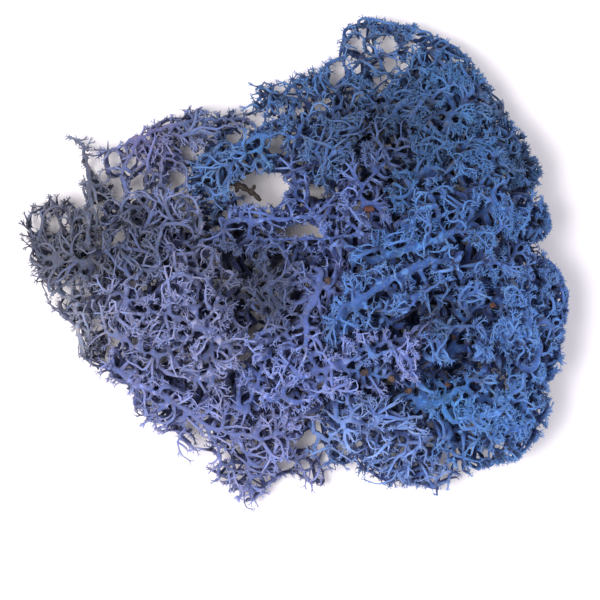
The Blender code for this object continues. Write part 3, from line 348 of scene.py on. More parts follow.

# Each stalk: least radius of its stems in the solids and greatest radius here, whether they
# show from above, the dye of its body and the paler colour of its tips, which is also a painted highlight.
STALKS = {
    "podetium_upper_right": (STEM_RADIUS, 0.6, False, (0.017, 0.066, 0.215), (0.07, 0.225, 0.55)),
    "podetium_lobe_a": (STEM_RADIUS, 0.65, False, (0.016, 0.066, 0.215), (0.07, 0.23, 0.57)),
    "podetium_lobe_b": (STEM_RADIUS, 0.66, True, (0.024, 0.079, 0.27), (0.094, 0.26, 0.65)),
    "podetium_lobe_c": (STEM_RADIUS, 0.72, True, (0.035, 0.093, 0.31), (0.13, 0.3, 0.73)),
    "podetium_lobe_d": (STEM_RADIUS, 0.66, True, (0.036, 0.1, 0.33), (0.13, 0.32, 0.78)),
    "podetium_lobe_e": (STEM_RADIUS, 0.62, True, (0.037, 0.11, 0.35), (0.135, 0.34, 0.8)),
    "podetium_bottom": (STEM_RADIUS, 0.5, False, (0.065, 0.122, 0.36), (0.28, 0.43, 0.88)),
    "podetium_middle": (STEM_RADIUS, 0.52, True, (0.058, 0.095, 0.31), (0.22, 0.32, 0.75)),
    "podetium_lower_middle": (STEM_RADIUS, 0.64, True, (0.085, 0.122, 0.36), (0.33, 0.4, 0.86)),
    "podetium_hub": (FINE_STEM_RADIUS, 0.62, True, (0.112, 0.13, 0.29), (0.37, 0.395, 0.72)),
    "podetium_fringe": (FINE_STEM_RADIUS, 0.5, True, (0.115, 0.135, 0.33), (0.38, 0.41, 0.8)),
    "podetium_left": (FINE_STEM_RADIUS, 0.44, False, (0.065, 0.068, 0.11), (0.27, 0.28, 0.39)),
    "podetium_upper_left": (FINE_STEM_RADIUS, 0.36, False, (0.085, 0.105, 0.22), (0.31, 0.35, 0.64)),
    "podetium_frond": (FINE_STEM_RADIUS, 0.42, False, (0.026, 0.08, 0.235), (0.106, 0.265, 0.61)),
    "podetium_upper_middle": (FINE_STEM_RADIUS, 0.42, False, (0.03, 0.08, 0.245), (0.125, 0.272, 0.61)),
}

# Scraps of bark and litter: x, y, length, thickness, dry colour and colour of the blotches.
SCRAPS = [
    (12.7, 8.7, 2.6, 0.8, (0.13, 0.05, 0.04), (0.04, 0.018, 0.022)),
    (6.0, -3.2, 1.9, 0.8, (0.1, 0.06, 0.045), (0.03, 0.022, 0.025)),
    (12.0, -18.4, 2.4, 0.8, (0.085, 0.055, 0.05), (0.028, 0.022, 0.03)),
    (16.5, -19.3, 2.0, 0.8, (0.15, 0.1, 0.07), (0.045, 0.03, 0.03)),
    (19.4, -21.4, 1.9, 0.7, (0.11, 0.065, 0.045), (0.035, 0.022, 0.024)),
    (25.8, -20.4, 1.5, 0.7, (0.1, 0.05, 0.045), (0.03, 0.018, 0.024)),
    (33.2, -7.2, 1.5, 0.7, (0.2, 0.085, 0.05), (0.06, 0.028, 0.028)),
    (26.8, -12.6, 1.4, 0.7, (0.085, 0.055, 0.055), (0.028, 0.02, 0.03)),
]

# Dead twig at the edge of the large opening.
DEAD_TWIG = [(-12.6, 12.0, 12.2), (-10.6, 13.3, 12.2), (-8.8, 12.9, 12), (-7, 11.7, 12),
             (-5.2, 10.2, 12)]

# Middle of the clump in plan, which becomes its origin.
MIDDLE = (0.58, 0.37)

# Soft patches of colour: x, y, radius in millimetres, colour, strength. The pale and blue ones are where the
# dye took differently; the darkest ones are painted shade over the dark valley and the shaded hollows.
DYE_AND_SHADE_PATCHES = [
    (26, -23, 4.0, (0.05, 0.26, 0.62), 0.5), (13, -17, 4.0, (0.06, 0.24, 0.6), 0.4),
    (-5, 18, 3.5, (0.06, 0.24, 0.58), 0.45), (-40, 4, 8.0, (0.08, 0.08, 0.12), 0.6),
    (-35, -9, 6.0, (0.34, 0.35, 0.47), 0.8), (-24, 20, 6.0, (0.17, 0.1, 0.3), 0.35),
    (-4.5, -3.5, 8.0, (0.018, 0.02, 0.04), 0.85), (-13, 3, 6.5, (0.03, 0.03, 0.055), 0.55),
    (-27, 4.5, 8.5, (0.03, 0.033, 0.06), 0.72), (17, 22, 9.0, (0.008, 0.028, 0.09), 0.65),
    (25, -9, 5.0, (0.01, 0.02, 0.06), 0.5), (38, 17, 5.0, (0.015, 0.04, 0.1), 0.5),
    (34, 26, 3.5, (0.1, 0.14, 0.2), 0.45), (6, -28, 5.0, (0.28, 0.42, 0.85), 0.35),
    (18, -29.5, 4.0, (0.26, 0.42, 0.88), 0.35), (-13, 24, 6.0, (0.03, 0.075, 0.22), 0.4),
    (8, 20, 6.0, (0.012, 0.05, 0.15), 0.45), (11.5, -29.5, 4.5, (0.34, 0.46, 0.9), 0.45),
    (-2, -9.5, 4.5, (0.03, 0.035, 0.07), 0.4),
]


def segments(stems):
    """Start and end points of every straight piece of the given stems."""
    pairs = [pair for stem in stems for pair in zip(stem[:-1], stem[1:])]
    return np.array([a for a, _ in pairs], float), np.array([b for _, b in pairs], float)


def distance_to_segments(points, starts, ends):
    """Least distance from each point to any of the segments."""
    spans = ends - starts
    best = np.full(len(points), 1e9)
    for start, span, size in zip(starts, spans, np.einsum("ij,ij->i", spans, spans)):
        share = np.clip(((points - start) @ span) / max(size, 1e-9), 0, 1)
        best = np.minimum(best, np.linalg.norm(points - start - share[:, None] * span, axis=1))
    return best


def in_outline(points):
    """Whether each plan point lies inside the outline, and how far it is from it."""
    ring = np.array(OUTLINE, float)
    onward = np.roll(ring, -1, axis=0)
    x, y = points[:, 0], points[:, 1]
    inside = np.zeros(len(points), bool)
    for (x0, y0), (x1, y1) in zip(ring, onward):
        at = (x1 - x0) * (y - y0) / ((y1 - y0) if y1 != y0 else 1e-9) + x0
        inside ^= ((y0 > y) != (y1 > y)) & (x < at)
    return inside, distance_to_segments(points, ring, onward)


def height_at(points):
    """Height of the clump at each plan point, blended from the nearby heights."""
    spots = np.array(HEIGHTS, float)
    gap = np.linalg.norm(points[:, None, :2] - spots[None, :, :2], axis=2)
    weight = np.exp(-((gap / 8.0) ** 2)) + 1e-6 / (1 + gap**4)
    return (weight * spots[None, :, 2]).sum(1) / weight.sum(1)


def rings(plan, x, y, a, b):
    """How far out each plan point lies in an ellipse: 0 in the middle, 1 on its edge."""
    return ((plan[:, 0] - x) / a) ** 2 + ((plan[:, 1] - y) / b) ** 2


def dome_over(height, depth):
    """Level of the widest part of the clump, of its top and of its underside at each place."""
    bulge = np.sqrt(np.clip(1 - (1 - np.clip(depth / (0.36 * height), 0, 1)) ** 2, 0, 1))
    middle = 0.4 * height
    return middle, middle + (height - middle) * bulge, middle - middle * bulge


def in_room(points, margin):
    """True where a point lies in the room that twigs may fill."""
    plan, level = points[:, :2], points[:, 2]
    inside, depth = in_outline(plan)
    _, top, under = dome_over(height_at(points), depth)
    good = inside & (depth >= margin) & (level < top - margin) & (level > np.maximum(under, 0.6))
    for x, y, a, b in OPENINGS:
        good &= rings(plan, x, y, a + 0.5, b + 0.5) > 1
    for x, y, a, b, low in HOLLOWS:
        good &= (rings(plan, x, y, a, b) > 1) | (level < low)
    return good


def dead_twig():
    """Branches of the short dead twig, with the stubs of three side twigs."""
    branches = [(DEAD_TWIG, [0.42, 0.5, 0.5, 0.45, 0.3])]
    for k, (dx, dy, dz) in ((1, (0.3, 1.5, 0.5)), (2, (-0.6, -1.3, 0.6)), (3, (0.9, 1.0, 0.4))):
        root = DEAD_TWIG[k]
        end = (root[0] + dx, root[1] + dy, root[2] + dz)
        branches.append(([root, end], [0.36, 0.26]))
    return branches


def scrap_places():
    """Centre of each scrap: just above the highest stem close by."""
    starts, ends = segments([stem for stems in STEMS.values() for stem in stems])
    places = []
    for x, y, _, thick, _, _ in SCRAPS:
        best, height = -OPEN_SKY, 12.0
        for a, b in zip(starts, ends):
            for share in np.linspace(0, 1, 9):
                point = a + share * (b - a)
                gap = np.linalg.norm(point[:2] - (x, y))
                if gap < 1.3 and point[2] - gap > best:
                    best, height = point[2] - gap, point[2] - 0.25 * gap
        places.append((x, y, height + STEM_RADIUS + CLEARANCE + 0.6 * thick))
    return places


def clear_of_litter(points, litter, coarse):
    """True where a coarse or a fine twig would not touch a scrap or the dead twig."""
    twig = segments([line for line, _ in dead_twig()])
    good = distance_to_segments(points, *twig) > (1.5 if coarse else 0.85)
    for middle, (_, _, long, thick, _, _) in zip(litter, SCRAPS):
        gap = points - np.array(middle)
        beside = np.hypot(gap[:, 0], gap[:, 1]) > 0.5 * long + (1.0 if coarse else 0.0)
        if coarse:
            good &= beside | (gap[:, 2] < -1.3 * thick - 0.6)
        else:
            good &= beside | (np.abs(gap[:, 2]) > 0.5 * thick + 0.35)
    return good


def scatter(rng, own, others, litter):
    """Points spread through the part of the room that lies nearest this stalk."""
    starts, ends = own
    low = np.minimum(starts, ends).min(0) - 9
    high = np.maximum(starts, ends).max(0) + 9
    low[2], high[2] = 0.6, 29
    cloud = rng.uniform(low, high, (16000, 3))
    cloud = cloud[in_room(cloud, 0.3)]
    cloud = cloud[clear_of_litter(cloud, litter, True)]
    near = distance_to_segments(cloud, starts, ends)
    far = distance_to_segments(cloud, *others)
    keep = (far - near > 2 * BORDER + 0.3) & (near > 2.4)
    cloud = cloud[keep]
    shade = np.minimum((height_at(cloud) - cloud[:, 2]) / 6.0, in_outline(cloud[:, :2])[1] / 4.0)
    order = np.argsort(shade - 0.25 * near[keep] + rng.uniform(0, 1.0, len(cloud)))
    chosen = []
    for index in order:
        room = SPACING * (1 + 1.2 * min(max(shade[index] - 0.3, 0.0), 2.0))
        if all(np.linalg.norm(cloud[index] - other) > room for other in chosen):
            chosen.append(cloud[index])
        if len(chosen) >= TWIGS_PER_STALK:
            break
    return np.array(chosen)


def tree_of_stems(stems, step):
    """Nodes along the given stems, each with the node it grows from."""
    nodes = []
    parents = []
    for stem in stems:
        first = np.array(stem[0], float)
        at = None
        for index, node in enumerate(nodes):
            if np.linalg.norm(node - first) < 0.01:
                at = index
        if at is None:
            if nodes:
                at = int(np.argmin([np.linalg.norm(node - first) for node in nodes]))
            nodes.append(first)
            parents.append(-1 if at is None else at)
            at = len(nodes) - 1
        for a, b in zip(stem[:-1], stem[1:]):
            a, b = np.array(a, float), np.array(b, float)
            pieces = max(1, int(round(np.linalg.norm(b - a) / step)))
            for k in range(1, pieces + 1):
                nodes.append(a + (b - a) * k / pieces)
                parents.append(at)
                at = len(nodes) - 1
    return nodes, parents


def grow(nodes, parents, pulls, step, reach, allowed, rounds=40):
    """Grow twigs from the nodes towards the pulling points."""
    nodes = list(nodes)
    parents = list(parents)
    fixed = len(nodes)
    where = np.array(nodes)
    gap = np.linalg.norm(pulls[:, None] - where[None], axis=2)
    nearest = gap.argmin(1)
    least = gap.min(1)
    alive = least > reach
    for _ in range(rounds):
        if not alive.any():
            break
        new = []
        for node in np.unique(nearest[alive]):
            mine = np.where(alive & (nearest == node))[0]
            lines = pulls[mine] - where[node]
            lengths = np.linalg.norm(lines, axis=1)
            pull = (lines / lengths[:, None]).sum(0)
            if node >= fixed and parents[node] >= 0:
                along = where[node] - where[parents[node]]
                pull = pull + 0.6 * along / max(np.linalg.norm(along), 1e-9)
            size = np.linalg.norm(pull)
            tip = where[node] + step * pull / max(size, 1e-9)
            if size < 0.2 or min(np.linalg.norm(pulls[mine] - tip, axis=1) - lengths) > -0.2 * step:
                closest = mine[int(lengths.argmin())]
                line = pulls[closest] - where[node]
                tip = where[node] + step * line / np.linalg.norm(line)
            new.append((node, tip, mine))
        tips = np.array([tip for _, tip, _ in new])
        good = allowed(tips)
        added = []
        for (node, tip, mine), fine in zip(new, good):
            if not fine:
                alive[mine[int(least[mine].argmin())]] = False
                continue
            nodes.append(tip)
            parents.append(int(node))
            added.append(len(nodes) - 1)
        if added:
            where = np.array(nodes)
            gap = np.linalg.norm(pulls[:, None] - where[None, added], axis=2)
            close = gap.argmin(1)
            closer = gap.min(1) < least
            nearest = np.where(closer, np.array(added)[close], nearest)
            least = np.minimum(least, gap.min(1))
        alive &= least > reach
    return nodes, parents


def children_of(parents):
    """Children of each node."""
    children = [[] for _ in parents]
    for index, parent in enumerate(parents):
        if parent >= 0:
            children[parent].append(index)
    return children


def thickness(parents, floor):
    """Radius at each node, from the number of twigs that it carries."""
    children = children_of(parents)
    load = [0.0] * len(parents)
    for index in range(len(parents) - 1, -1, -1):
        kids = children[index]
        load[index] = sum(load[kid] for kid in kids) if kids else TIP_RADIUS**RADIUS_POWER
    return [min(max(size ** (1 / RADIUS_POWER), least), MOST_RADIUS) for size, least in zip(load, floor)]


def lines_of(links, sizes):
    """Runs of nodes that each follow the child with the greatest size."""
    children = children_of(links)
    found = []
    todo = [[root] for root, link in enumerate(links) if link < 0]
    while todo:
        line = todo.pop()
        while children[line[-1]]:
            kids = sorted(children[line[-1]], key=lambda kid: -sizes[kid])
            todo.extend([line[-1], kid] for kid in kids[1:])
            line.append(kids[0])
        found.append(line)
    return found


def raster_points():
    """Plan points in the middle of every raster cell, row by row."""
    xs = LEFT + CELL * (np.arange(COLUMNS) + 0.5)
    ys = FRONT + CELL * (np.arange(ROWS) + 0.5)
    across, along = np.meshgrid(xs, ys)
    return np.column_stack((across.ravel(), along.ravel()))


def cells_of(points):
    """Raster cell that each point lies in."""
    column = np.clip(((points[:, 0] - LEFT) / CELL).astype(int), 0, COLUMNS - 1)
    row = np.clip(((points[:, 1] - FRONT) / CELL).astype(int), 0, ROWS - 1)
    return row * COLUMNS + column


def looked_up(field, points):
    """Value of a raster field at each point."""
    return field[cells_of(points)]


def rolled(raster, shift):
    """The raster moved by some cells, each of four ways."""
    return [np.roll(raster, way * shift, axis) for axis in (0, 1) for way in (1, -1)]


def values_at(fields, points, *names):
    """Values of several raster fields at each point."""
    cells = cells_of(points)
    return [fields[name][cells] for name in names]


def region_fields(plan):
    """Tuftedness and netting over the raster."""
    total = np.zeros(len(plan))
    sums = np.zeros((len(plan), 2))
    for x, y, tufted, netted in REGIONS:
        gap = np.hypot(plan[:, 0] - x, plan[:, 1] - y)
        weight = np.exp(-((gap / 6.0) ** 2)) + 1e-5 / (1 + gap**4)
        total += weight
        sums += weight[:, None] * np.array((tufted, netted))
    return (sums / total[:, None]).T


def lace_gaps(plan):
    """True over the raster where a small gap goes right through a thin place of the clump."""
    rng = np.random.default_rng(12)
    spots = np.array(LACE)
    found = np.zeros(len(plan), bool)
    for x in np.arange(LEFT + 2, 50, LACE_SPACING):
        for y in np.arange(FRONT + 2, 46, LACE_SPACING):
            middle = np.array((x, y)) + rng.uniform(-0.36, 0.36, 2) * LACE_SPACING
            size, long, turn = rng.uniform(0.75, 1.25), rng.uniform(1.0, 1.7), rng.uniform(0, math.pi)
            near = np.hypot(*(spots[:, :2] - middle).T) / spots[:, 2]
            open_share = (spots[:, 3] * np.exp(-0.7 * near**2)).max()
            if open_share < 0.22:
                continue
            gap = plan - middle
            along = gap[:, 0] * math.cos(turn) + gap[:, 1] * math.sin(turn)
            aside = gap[:, 1] * math.cos(turn) - gap[:, 0] * math.sin(turn)
            radius = (0.17 + 0.34 * open_share) * size
            found |= np.hypot(along / long, aside) < radius
    return found


def exposed_stems(tufted):
    """Straight pieces of stem that show from above, with the stem's radius."""
    found = []
    for name, (_, stem_radius, shows, _, _) in STALKS.items():
        for a, b in zip(*segments(STEMS[name])) if shows else ():
            middle = 0.5 * (a + b)[None]
            buried = height_at(middle)[0] - middle[0, 2]
            if min(a[2], b[2]) >= 4 and buried <= 8.5 and looked_up(tufted, middle)[0] < 0.5:
                found.append((a, b, stem_radius))
    return found


def clump_fields():
    """Raster fields of the room that the fine twigs fill."""
    plan = raster_points()
    tufted, netted = region_fields(plan)
    inside, depth = in_outline(plan)
    depth[~inside] = -1.0
    middle, top, under = dome_over(height_at(plan), depth)
    lane = np.full(len(plan), OPEN_SKY)
    cap = lane.copy()
    for a, b, radius in exposed_stems(tufted):
        span = b[:2] - a[:2]
        along = np.clip(((plan - a[:2]) @ span) / max(span @ span, 1e-9), 0, 1)
        gap = np.linalg.norm(plan - a[:2] - along[:, None] * span, axis=1)
        level = a[2] + along * (b[2] - a[2])
        cap = np.minimum(cap, level + 1.8 + 0.9 * np.clip(gap - 1.2, 0, None))
        lane = np.where(gap < radius + LANE, np.minimum(lane, level), lane)
    skyline = np.minimum(top, np.maximum(cap, middle + 0.5))
    valley = skyline.copy()
    for x, y, a, b, drop in VALLEYS:
        valley -= drop * np.exp(-1.2 * rings(plan, x, y, a, b))
    valley = np.maximum(valley, middle + 0.5)
    top = valley.copy()
    ragged = (np.sin(1.9 * plan[:, 0] + 1.3 * np.sin(1.1 * plan[:, 1]))
              + np.sin(2.3 * plan[:, 1] + 1.7 * np.sin(0.9 * plan[:, 0])))
    for x, y, a, b in FINE_OPENINGS + OPENINGS[2:]:
        depth[rings(plan, x, y, a + 0.1, b + 0.1) < 0.9 + min(0.3, 0.35 / b) * ragged] = -1.0
    gaps = lace_gaps(plan)
    depth[gaps] = -1.0
    beside = gaps.astype(float).reshape(ROWS, COLUMNS)
    for shift in (1, 2, 3):
        beside = sum(rolled(beside, shift), beside) / 5
    for x, y, a, b, low in HOLLOWS:
        ring = rings(plan, x, y, a, b)
        inside = ring < 1.1 + 0.45 * ragged
        top[inside] = np.minimum(top[inside], low + 5.0 * np.clip(ring[inside], 0, 1.5))
    inner = np.clip(depth, 0, 12).reshape(ROWS, COLUMNS)
    for _ in range(8):
        inner = 0.25 * sum(rolled(inner, 2))
    down_y, down_x = np.gradient(-inner)
    slope = np.maximum(np.hypot(down_x, down_y), 1e-6)
    return {
        "tufted": tufted, "netted": netted, "depth": depth, "top": top, "bottom": np.maximum(under, 0.5),
        "lane": lane, "skyline": skyline, "valley": valley, "crown": skyline, "gaps": gaps,
        "beside": beside.ravel(), "out_x": (down_x / slope).ravel(), "out_y": (down_y / slope).ravel(),
    }


def tree_over(points):
    """Search tree over the points."""
    tree = kdtree.KDTree(len(points))
    for index, point in enumerate(points):
        tree.insert(point, index)
    tree.balance()
    return tree


def spread_out(points, gaps, order):
    """Indices of points that keep the given gaps from each other, first ones first."""
    tree = tree_over(points)
    free = np.ones(len(points), bool)
    chosen = []
    for index in order:
        if not free[index]:
            continue
        chosen.append(index)
        for _, other, _ in tree.find_range(points[index], gaps[index]):
            free[other] = False
    return np.array(chosen, int)


def lower_pulls(rng, fields, coarse_tips, litter):
    """Ends of the lower twigs, which fill the inside of the clump."""
    low, high = (-47, -44), (47, 43)
    batches = []
    for count, deepest in ((230000, 2.4), (90000, 8.0), (110000, 30.0)):
        plan = rng.uniform(low, high, (count, 2))
        under = deepest * rng.uniform(0, 1, count) ** 1.2
        batches.append(np.column_stack((plan, looked_up(fields["top"], plan) - under)))
    edge = rng.uniform((*low, 0.5), (*high, 27), (330000, 3))
    edge_depth = looked_up(fields["depth"], edge)
    batches.append(edge[(edge_depth > 0) & (edge_depth < 2.5)])
    stray = coarse_tips[rng.integers(0, len(coarse_tips), 26000)]
    batches.append(stray + rng.normal(0, 0.75, stray.shape))
    cloud = np.concatenate(batches)
    level = cloud[:, 2]
    near_tip = np.arange(len(cloud)) >= len(cloud) - len(stray)
    depth, top, bottom, lane = values_at(fields, cloud, "depth", "top", "bottom", "lane")
    fits = (depth > 0.15) & (level > bottom) & ((level < top) | near_tip) & (level < lane)
    fits &= (level < HIGHEST) & clear_of_litter(cloud, litter, True)
    shade = np.minimum(top - level, 1.5 * depth)
    shade = np.clip(np.minimum(shade, 2.5 + 0.8 * (level - bottom)), 0, 8)
    cloud, shade = cloud[fits], shade[fits]
    inner = rng.permutation(np.where(shade > 1.6)[0])
    gaps = LOWER_SPACING * (1 + 0.03 * shade)
    return cloud[inner[spread_out(cloud[inner], gaps[inner], range(len(inner)))]]


def cover_over(points, fields):
    """How much of the clump hides each point from above, in millimetres."""
    crown, depth, beside = values_at(fields, points, "crown", "depth", "beside")
    cover = np.minimum(crown - points[:, 2], 0.6 + 1.2 * np.clip(depth, 0, 9))
    return cover * (1 - np.clip(2.5 * beside, 0, 0.85))


def roof_over(stalks, fields):
    """Raster of the height of the stouter twigs near the surface, which stay uncovered."""
    roof = np.full(COLUMNS * ROWS, -1.0)
    round_it = [j * COLUMNS + i for i in range(-2, 3) for j in range(-2, 3) if i * i + j * j < 5]
    for stalk in stalks:
        places = stalk["places"][np.array(stalk["kinds"]) != LOWER]
        places = places[places[:, 2] > looked_up(fields["top"], places) - 5.0]
        for shift in round_it:
            np.maximum.at(roof, cells_of(places) + shift, places[:, 2])
    roof[roof < 0] = OPEN_SKY
    return roof


def crown_over(stalks, reaches):
    """Raster of the height of the highest twigs round each place."""
    crown = np.zeros(COLUMNS * ROWS)
    for stalk in stalks:
        np.maximum.at(crown, cells_of(stalk["places"]), stalk["places"][:, 2])
    crown = crown.reshape(ROWS, COLUMNS)
    for shift in reaches:
        for axis in (0, 1):
            beside = np.maximum(np.roll(crown, shift, axis), np.roll(crown, -shift, axis))
            crown = np.maximum(crown, beside)
    for _ in range(2):
        crown = 0.25 * sum(rolled(crown, 1))
    return crown.ravel()


def spline_between(points, index, shares):
    """Points of a smooth curve between one point of a run and the next."""
    b, c = points[index], points[index + 1]
    a = points[index - 1] if index > 0 else 2 * b - c
    d = points[index + 2] if index + 2 < len(points) else 2 * c - b
    t = shares[:, None]
    return 0.5 * (2 * b + (c - a) * t + (2 * a - 5 * b + 4 * c - d) * t**2
                  + (3 * b - a - 3 * c + d) * t**3)


def coarse_stalk(name, seed, litter):
    """Nodes, parents and radii of the coarse growth of one stalk, and how many are stem."""
    rng = np.random.default_rng(seed)
    own = segments(STEMS[name])
    others = segments([stem for other, stems in STEMS.items() if other != name for stem in stems])
    nodes, parents = tree_of_stems(STEMS[name], STEP)
    fixed = len(nodes)

    def allowed(points):
        near = distance_to_segments(points, *own)
        far = distance_to_segments(points, *others)
        return (far - near > 2 * BORDER) & in_room(points, 0.0) & clear_of_litter(points, litter, True)

    nodes, parents = grow(nodes, parents, scatter(rng, own, others, litter), STEP, REACH, allowed)
    floor = [STALKS[name][0] if i < fixed else TIP_RADIUS for i in range(len(nodes))]
    return nodes, parents, thickness(parents, floor), fixed


def refined(nodes, parents, radii, fixed, rng):
    """The coarse growth as smooth close-set nodes: places, parents, stem or twig."""
    places, links, kinds = [], [], []
    made = {}
    for line in lines_of(parents, radii):
        run = np.array([nodes[i] for i in line], float)
        if line[0] not in made:
            made[line[0]] = len(places)
            places.append(run[0])
            links.append(-1)
            kinds.append(STEM)
        at = made[line[0]]
        for k in range(len(line) - 1):
            count = max(1, int(round(np.linalg.norm(run[k + 1] - run[k]) / 0.8)))
            stem = line[k + 1] < fixed
            new = spline_between(run, k, np.arange(1, count + 1) / count)
            for point in new + rng.normal(0, 0.2 if stem else 0.08, new.shape):
                places.append(point)
                links.append(at)
                kinds.append(STEM if stem else TWIG)
                at = len(places) - 1
            made[line[k + 1]] = at
    return np.array(places), links, kinds


def new_stalk(name, index, litter):
    """One stalk as it starts: its coarse growth, which is as in the solids."""
    coarse = coarse_stalk(name, FIRST_SEED + index, litter)
    places, links, kinds = refined(*coarse, np.random.default_rng(60 + index))
    return {"name": name, "index": index, "places": places, "links": links, "kinds": kinds,
            "tones": [0.5] * len(places), "coarse": len(places), "blocked": set()}


def grow_fine(points, links, pulls, fits):
    """Grow fine twigs from the points towards the pulls, one short step a round."""
    count = len(points)
    room = np.zeros((count + 30 * len(pulls) + 10, 3))
    room[:count] = points
    links = list(links)
    tree = tree_over(points)
    found = [tree.find(pull) for pull in pulls]
    nearest = np.array([item[1] for item in found])
    least = np.array([item[2] for item in found])
    alive = least > LOWER_REACH
    grown = count
    for _ in range(70):
        live = np.where(alive)[0]
        if not len(live):
            break
        at = nearest[live]
        lines = pulls[live] - room[at]
        lengths = np.linalg.norm(lines, axis=1)
        acting, which = np.unique(at, return_inverse=True)
        pull = np.zeros((len(acting), 3))
        np.add.at(pull, which, lines / lengths[:, None])
        back = np.array([links[i] for i in acting])
        onward = (acting >= count) & (back >= 0)
        along = room[acting] - room[back]
        along /= np.maximum(np.linalg.norm(along, axis=1), 1e-9)[:, None]
        pull += ONWARD_PULL * along * onward[:, None]
        size = np.linalg.norm(pull, axis=1)
        tips = room[acting] + LOWER_STEP * pull / np.maximum(size, 1e-9)[:, None]
        gain = lengths - np.linalg.norm(pulls[live] - tips[which], axis=1)
        best = np.full(len(acting), -9.0)
        np.maximum.at(best, which, gain)
        rank = np.lexsort((lengths, which))
        firsts = rank[np.searchsorted(which[rank], np.arange(len(acting)))]
        straight = room[acting] + LOWER_STEP * (lines / lengths[:, None])[firsts]
        poor = (best < 0.25 * LOWER_STEP) | (size < 0.2)
        tips[poor] = straight[poor]
        good = fits(tips)
        alive[live[firsts[~good]]] = False
        tips, acting = tips[good], acting[good]
        if not len(tips):
            continue
        room[grown:grown + len(tips)] = tips
        links.extend(int(i) for i in acting)
        tree = tree_over(tips)
        for index in np.where(alive)[0]:
            _, other, gap = tree.find(pulls[index])
            if gap < least[index]:
                least[index] = gap
                nearest[index] = grown + other
        grown += len(tips)
        alive &= least > LOWER_REACH
    return room[:grown], links


def grow_lower(stalks, pulls, fields, territory):
    """Grow the lower twigs of every stalk towards the pulls nearest to it, in its own territory."""
    tree, owners = territory
    nearest = np.array([owners[tree.find(pull)[1]] for pull in pulls])
    for stalk in stalks:
        index, before = stalk["index"], len(stalk["places"])

        def fits(tips):
            level = tips[:, 2]
            depth, lane = values_at(fields, tips, "depth", "lane")
            good = (depth > 0.05) & (level > 0.4) & (level < 27.6) & (level < lane + 0.2)
            for k in np.where(good)[0]:
                near = tree.find_n(tips[k], 6)
                own = [gap for _, other, gap in near if owners[other] == index]
                rest = [gap for _, other, gap in near if owners[other] != index]
                good[k] = bool(own) and (not rest or rest[0] - own[0] > 2 * FINE_BORDER)
            return good

        mine = pulls[nearest == index]
        stalk["places"], stalk["links"] = grow_fine(stalk["places"], stalk["links"], mine, fits)
        grown = len(stalk["places"]) - before
        stalk["kinds"] += [LOWER] * grown
        stalk["tones"] += [0.5] * grown


def carried(links):
    """How many end twigs each node carries."""
    load = np.zeros(len(links))
    has_child = np.zeros(len(links), bool)
    for index in range(len(links) - 1, -1, -1):
        if not has_child[index]:
            load[index] = 1
        if links[index] >= 0:
            load[links[index]] += load[index]
            has_child[links[index]] = True
    return load


def ends_of(links):
    """True for each node that carries no other."""
    last = np.ones(len(links), bool)
    last[[link for link in links if link >= 0]] = False
    return last


def crowd_cells(points):
    """Crowding cell that each point lies in."""
    column = np.clip(((points[..., 0] - LEFT) / CROWD).astype(int), 2, CROWD_COLUMNS - 3)
    row = np.clip(((points[..., 1] - FRONT) / CROWD).astype(int), 2, CROWD_ROWS - 3)
    layer = np.clip((points[..., 2] / CROWD).astype(int), 0, CROWD_LAYERS - 1)
    return (row * CROWD_COLUMNS + column) * CROWD_LAYERS + layer


def ball_of_cells(radius):
    """Offsets to all crowding cells within a radius."""
    reach = range(-int(radius / CROWD) - 1, int(radius / CROWD) + 2)
    near = [(i, j, k) for i in reach for j in reach for k in reach
            if (i * i + j * j + k * k) * CROWD**2 <= radius**2]
    return np.array([(j * CROWD_COLUMNS + i) * CROWD_LAYERS + k for i, j, k in near])


def claim(crowd, cell, ball, node, back):
    """Mark the free cells round a node as taken by it."""
    spots = cell + ball
    spots = spots[(spots >= 0) & (spots < len(crowd["owner"]))]
    spots = spots[crowd["owner"][spots] < 0]
    crowd["owner"][spots] = node
    crowd["behind"][spots] = back


def crowd_of(stalks):
    """Cells taken by the twigs grown so far."""
    size = CROWD_COLUMNS * CROWD_ROWS * CROWD_LAYERS
    crowd = {"owner": np.full(size, -1, np.int32), "behind": np.full(size, -2, np.int32)}
    for kind, radius in ((STEM, 1.0), (TWIG, 0.5), (LOWER, 0.36)):
        ball = ball_of_cells(radius)
        for stalk in stalks:
            first = stalk["index"] * NODE_NUMBERS
            cells = crowd_cells(stalk["places"])
            for node, (link, own) in enumerate(zip(stalk["links"], stalk["kinds"])):
                if own == kind:
                    claim(crowd, cells[node], ball, first + node, first + max(link, 0))
    return crowd


def owned_cells(territory):
    """Coarse raster of which stalk owns the room."""
    owner_tree, owners = territory
    columns, rows, layers = 101, 93, 30
    owned = np.empty((columns, rows, layers), np.int8)
    for i in range(columns):
        for j in range(rows):
            for k in range(layers):
                owned[i, j, k] = owners[owner_tree.find((LEFT + i, FRONT + j, k))[1]]
    return owned


def owner_at(owned, points):
    """Which stalk owns the room at each point."""
    i = np.clip(np.rint(points[..., 0] - LEFT).astype(int), 0, owned.shape[0] - 1)
    j = np.clip(np.rint(points[..., 1] - FRONT).astype(int), 0, owned.shape[1] - 1)
    k = np.clip(np.rint(points[..., 2]).astype(int), 0, owned.shape[2] - 1)
    return owned[i, j, k]


def unit(lines):
    """Lines scaled to a length of one."""
    return lines / np.maximum(np.linalg.norm(lines, axis=-1), 1e-9)[..., None]


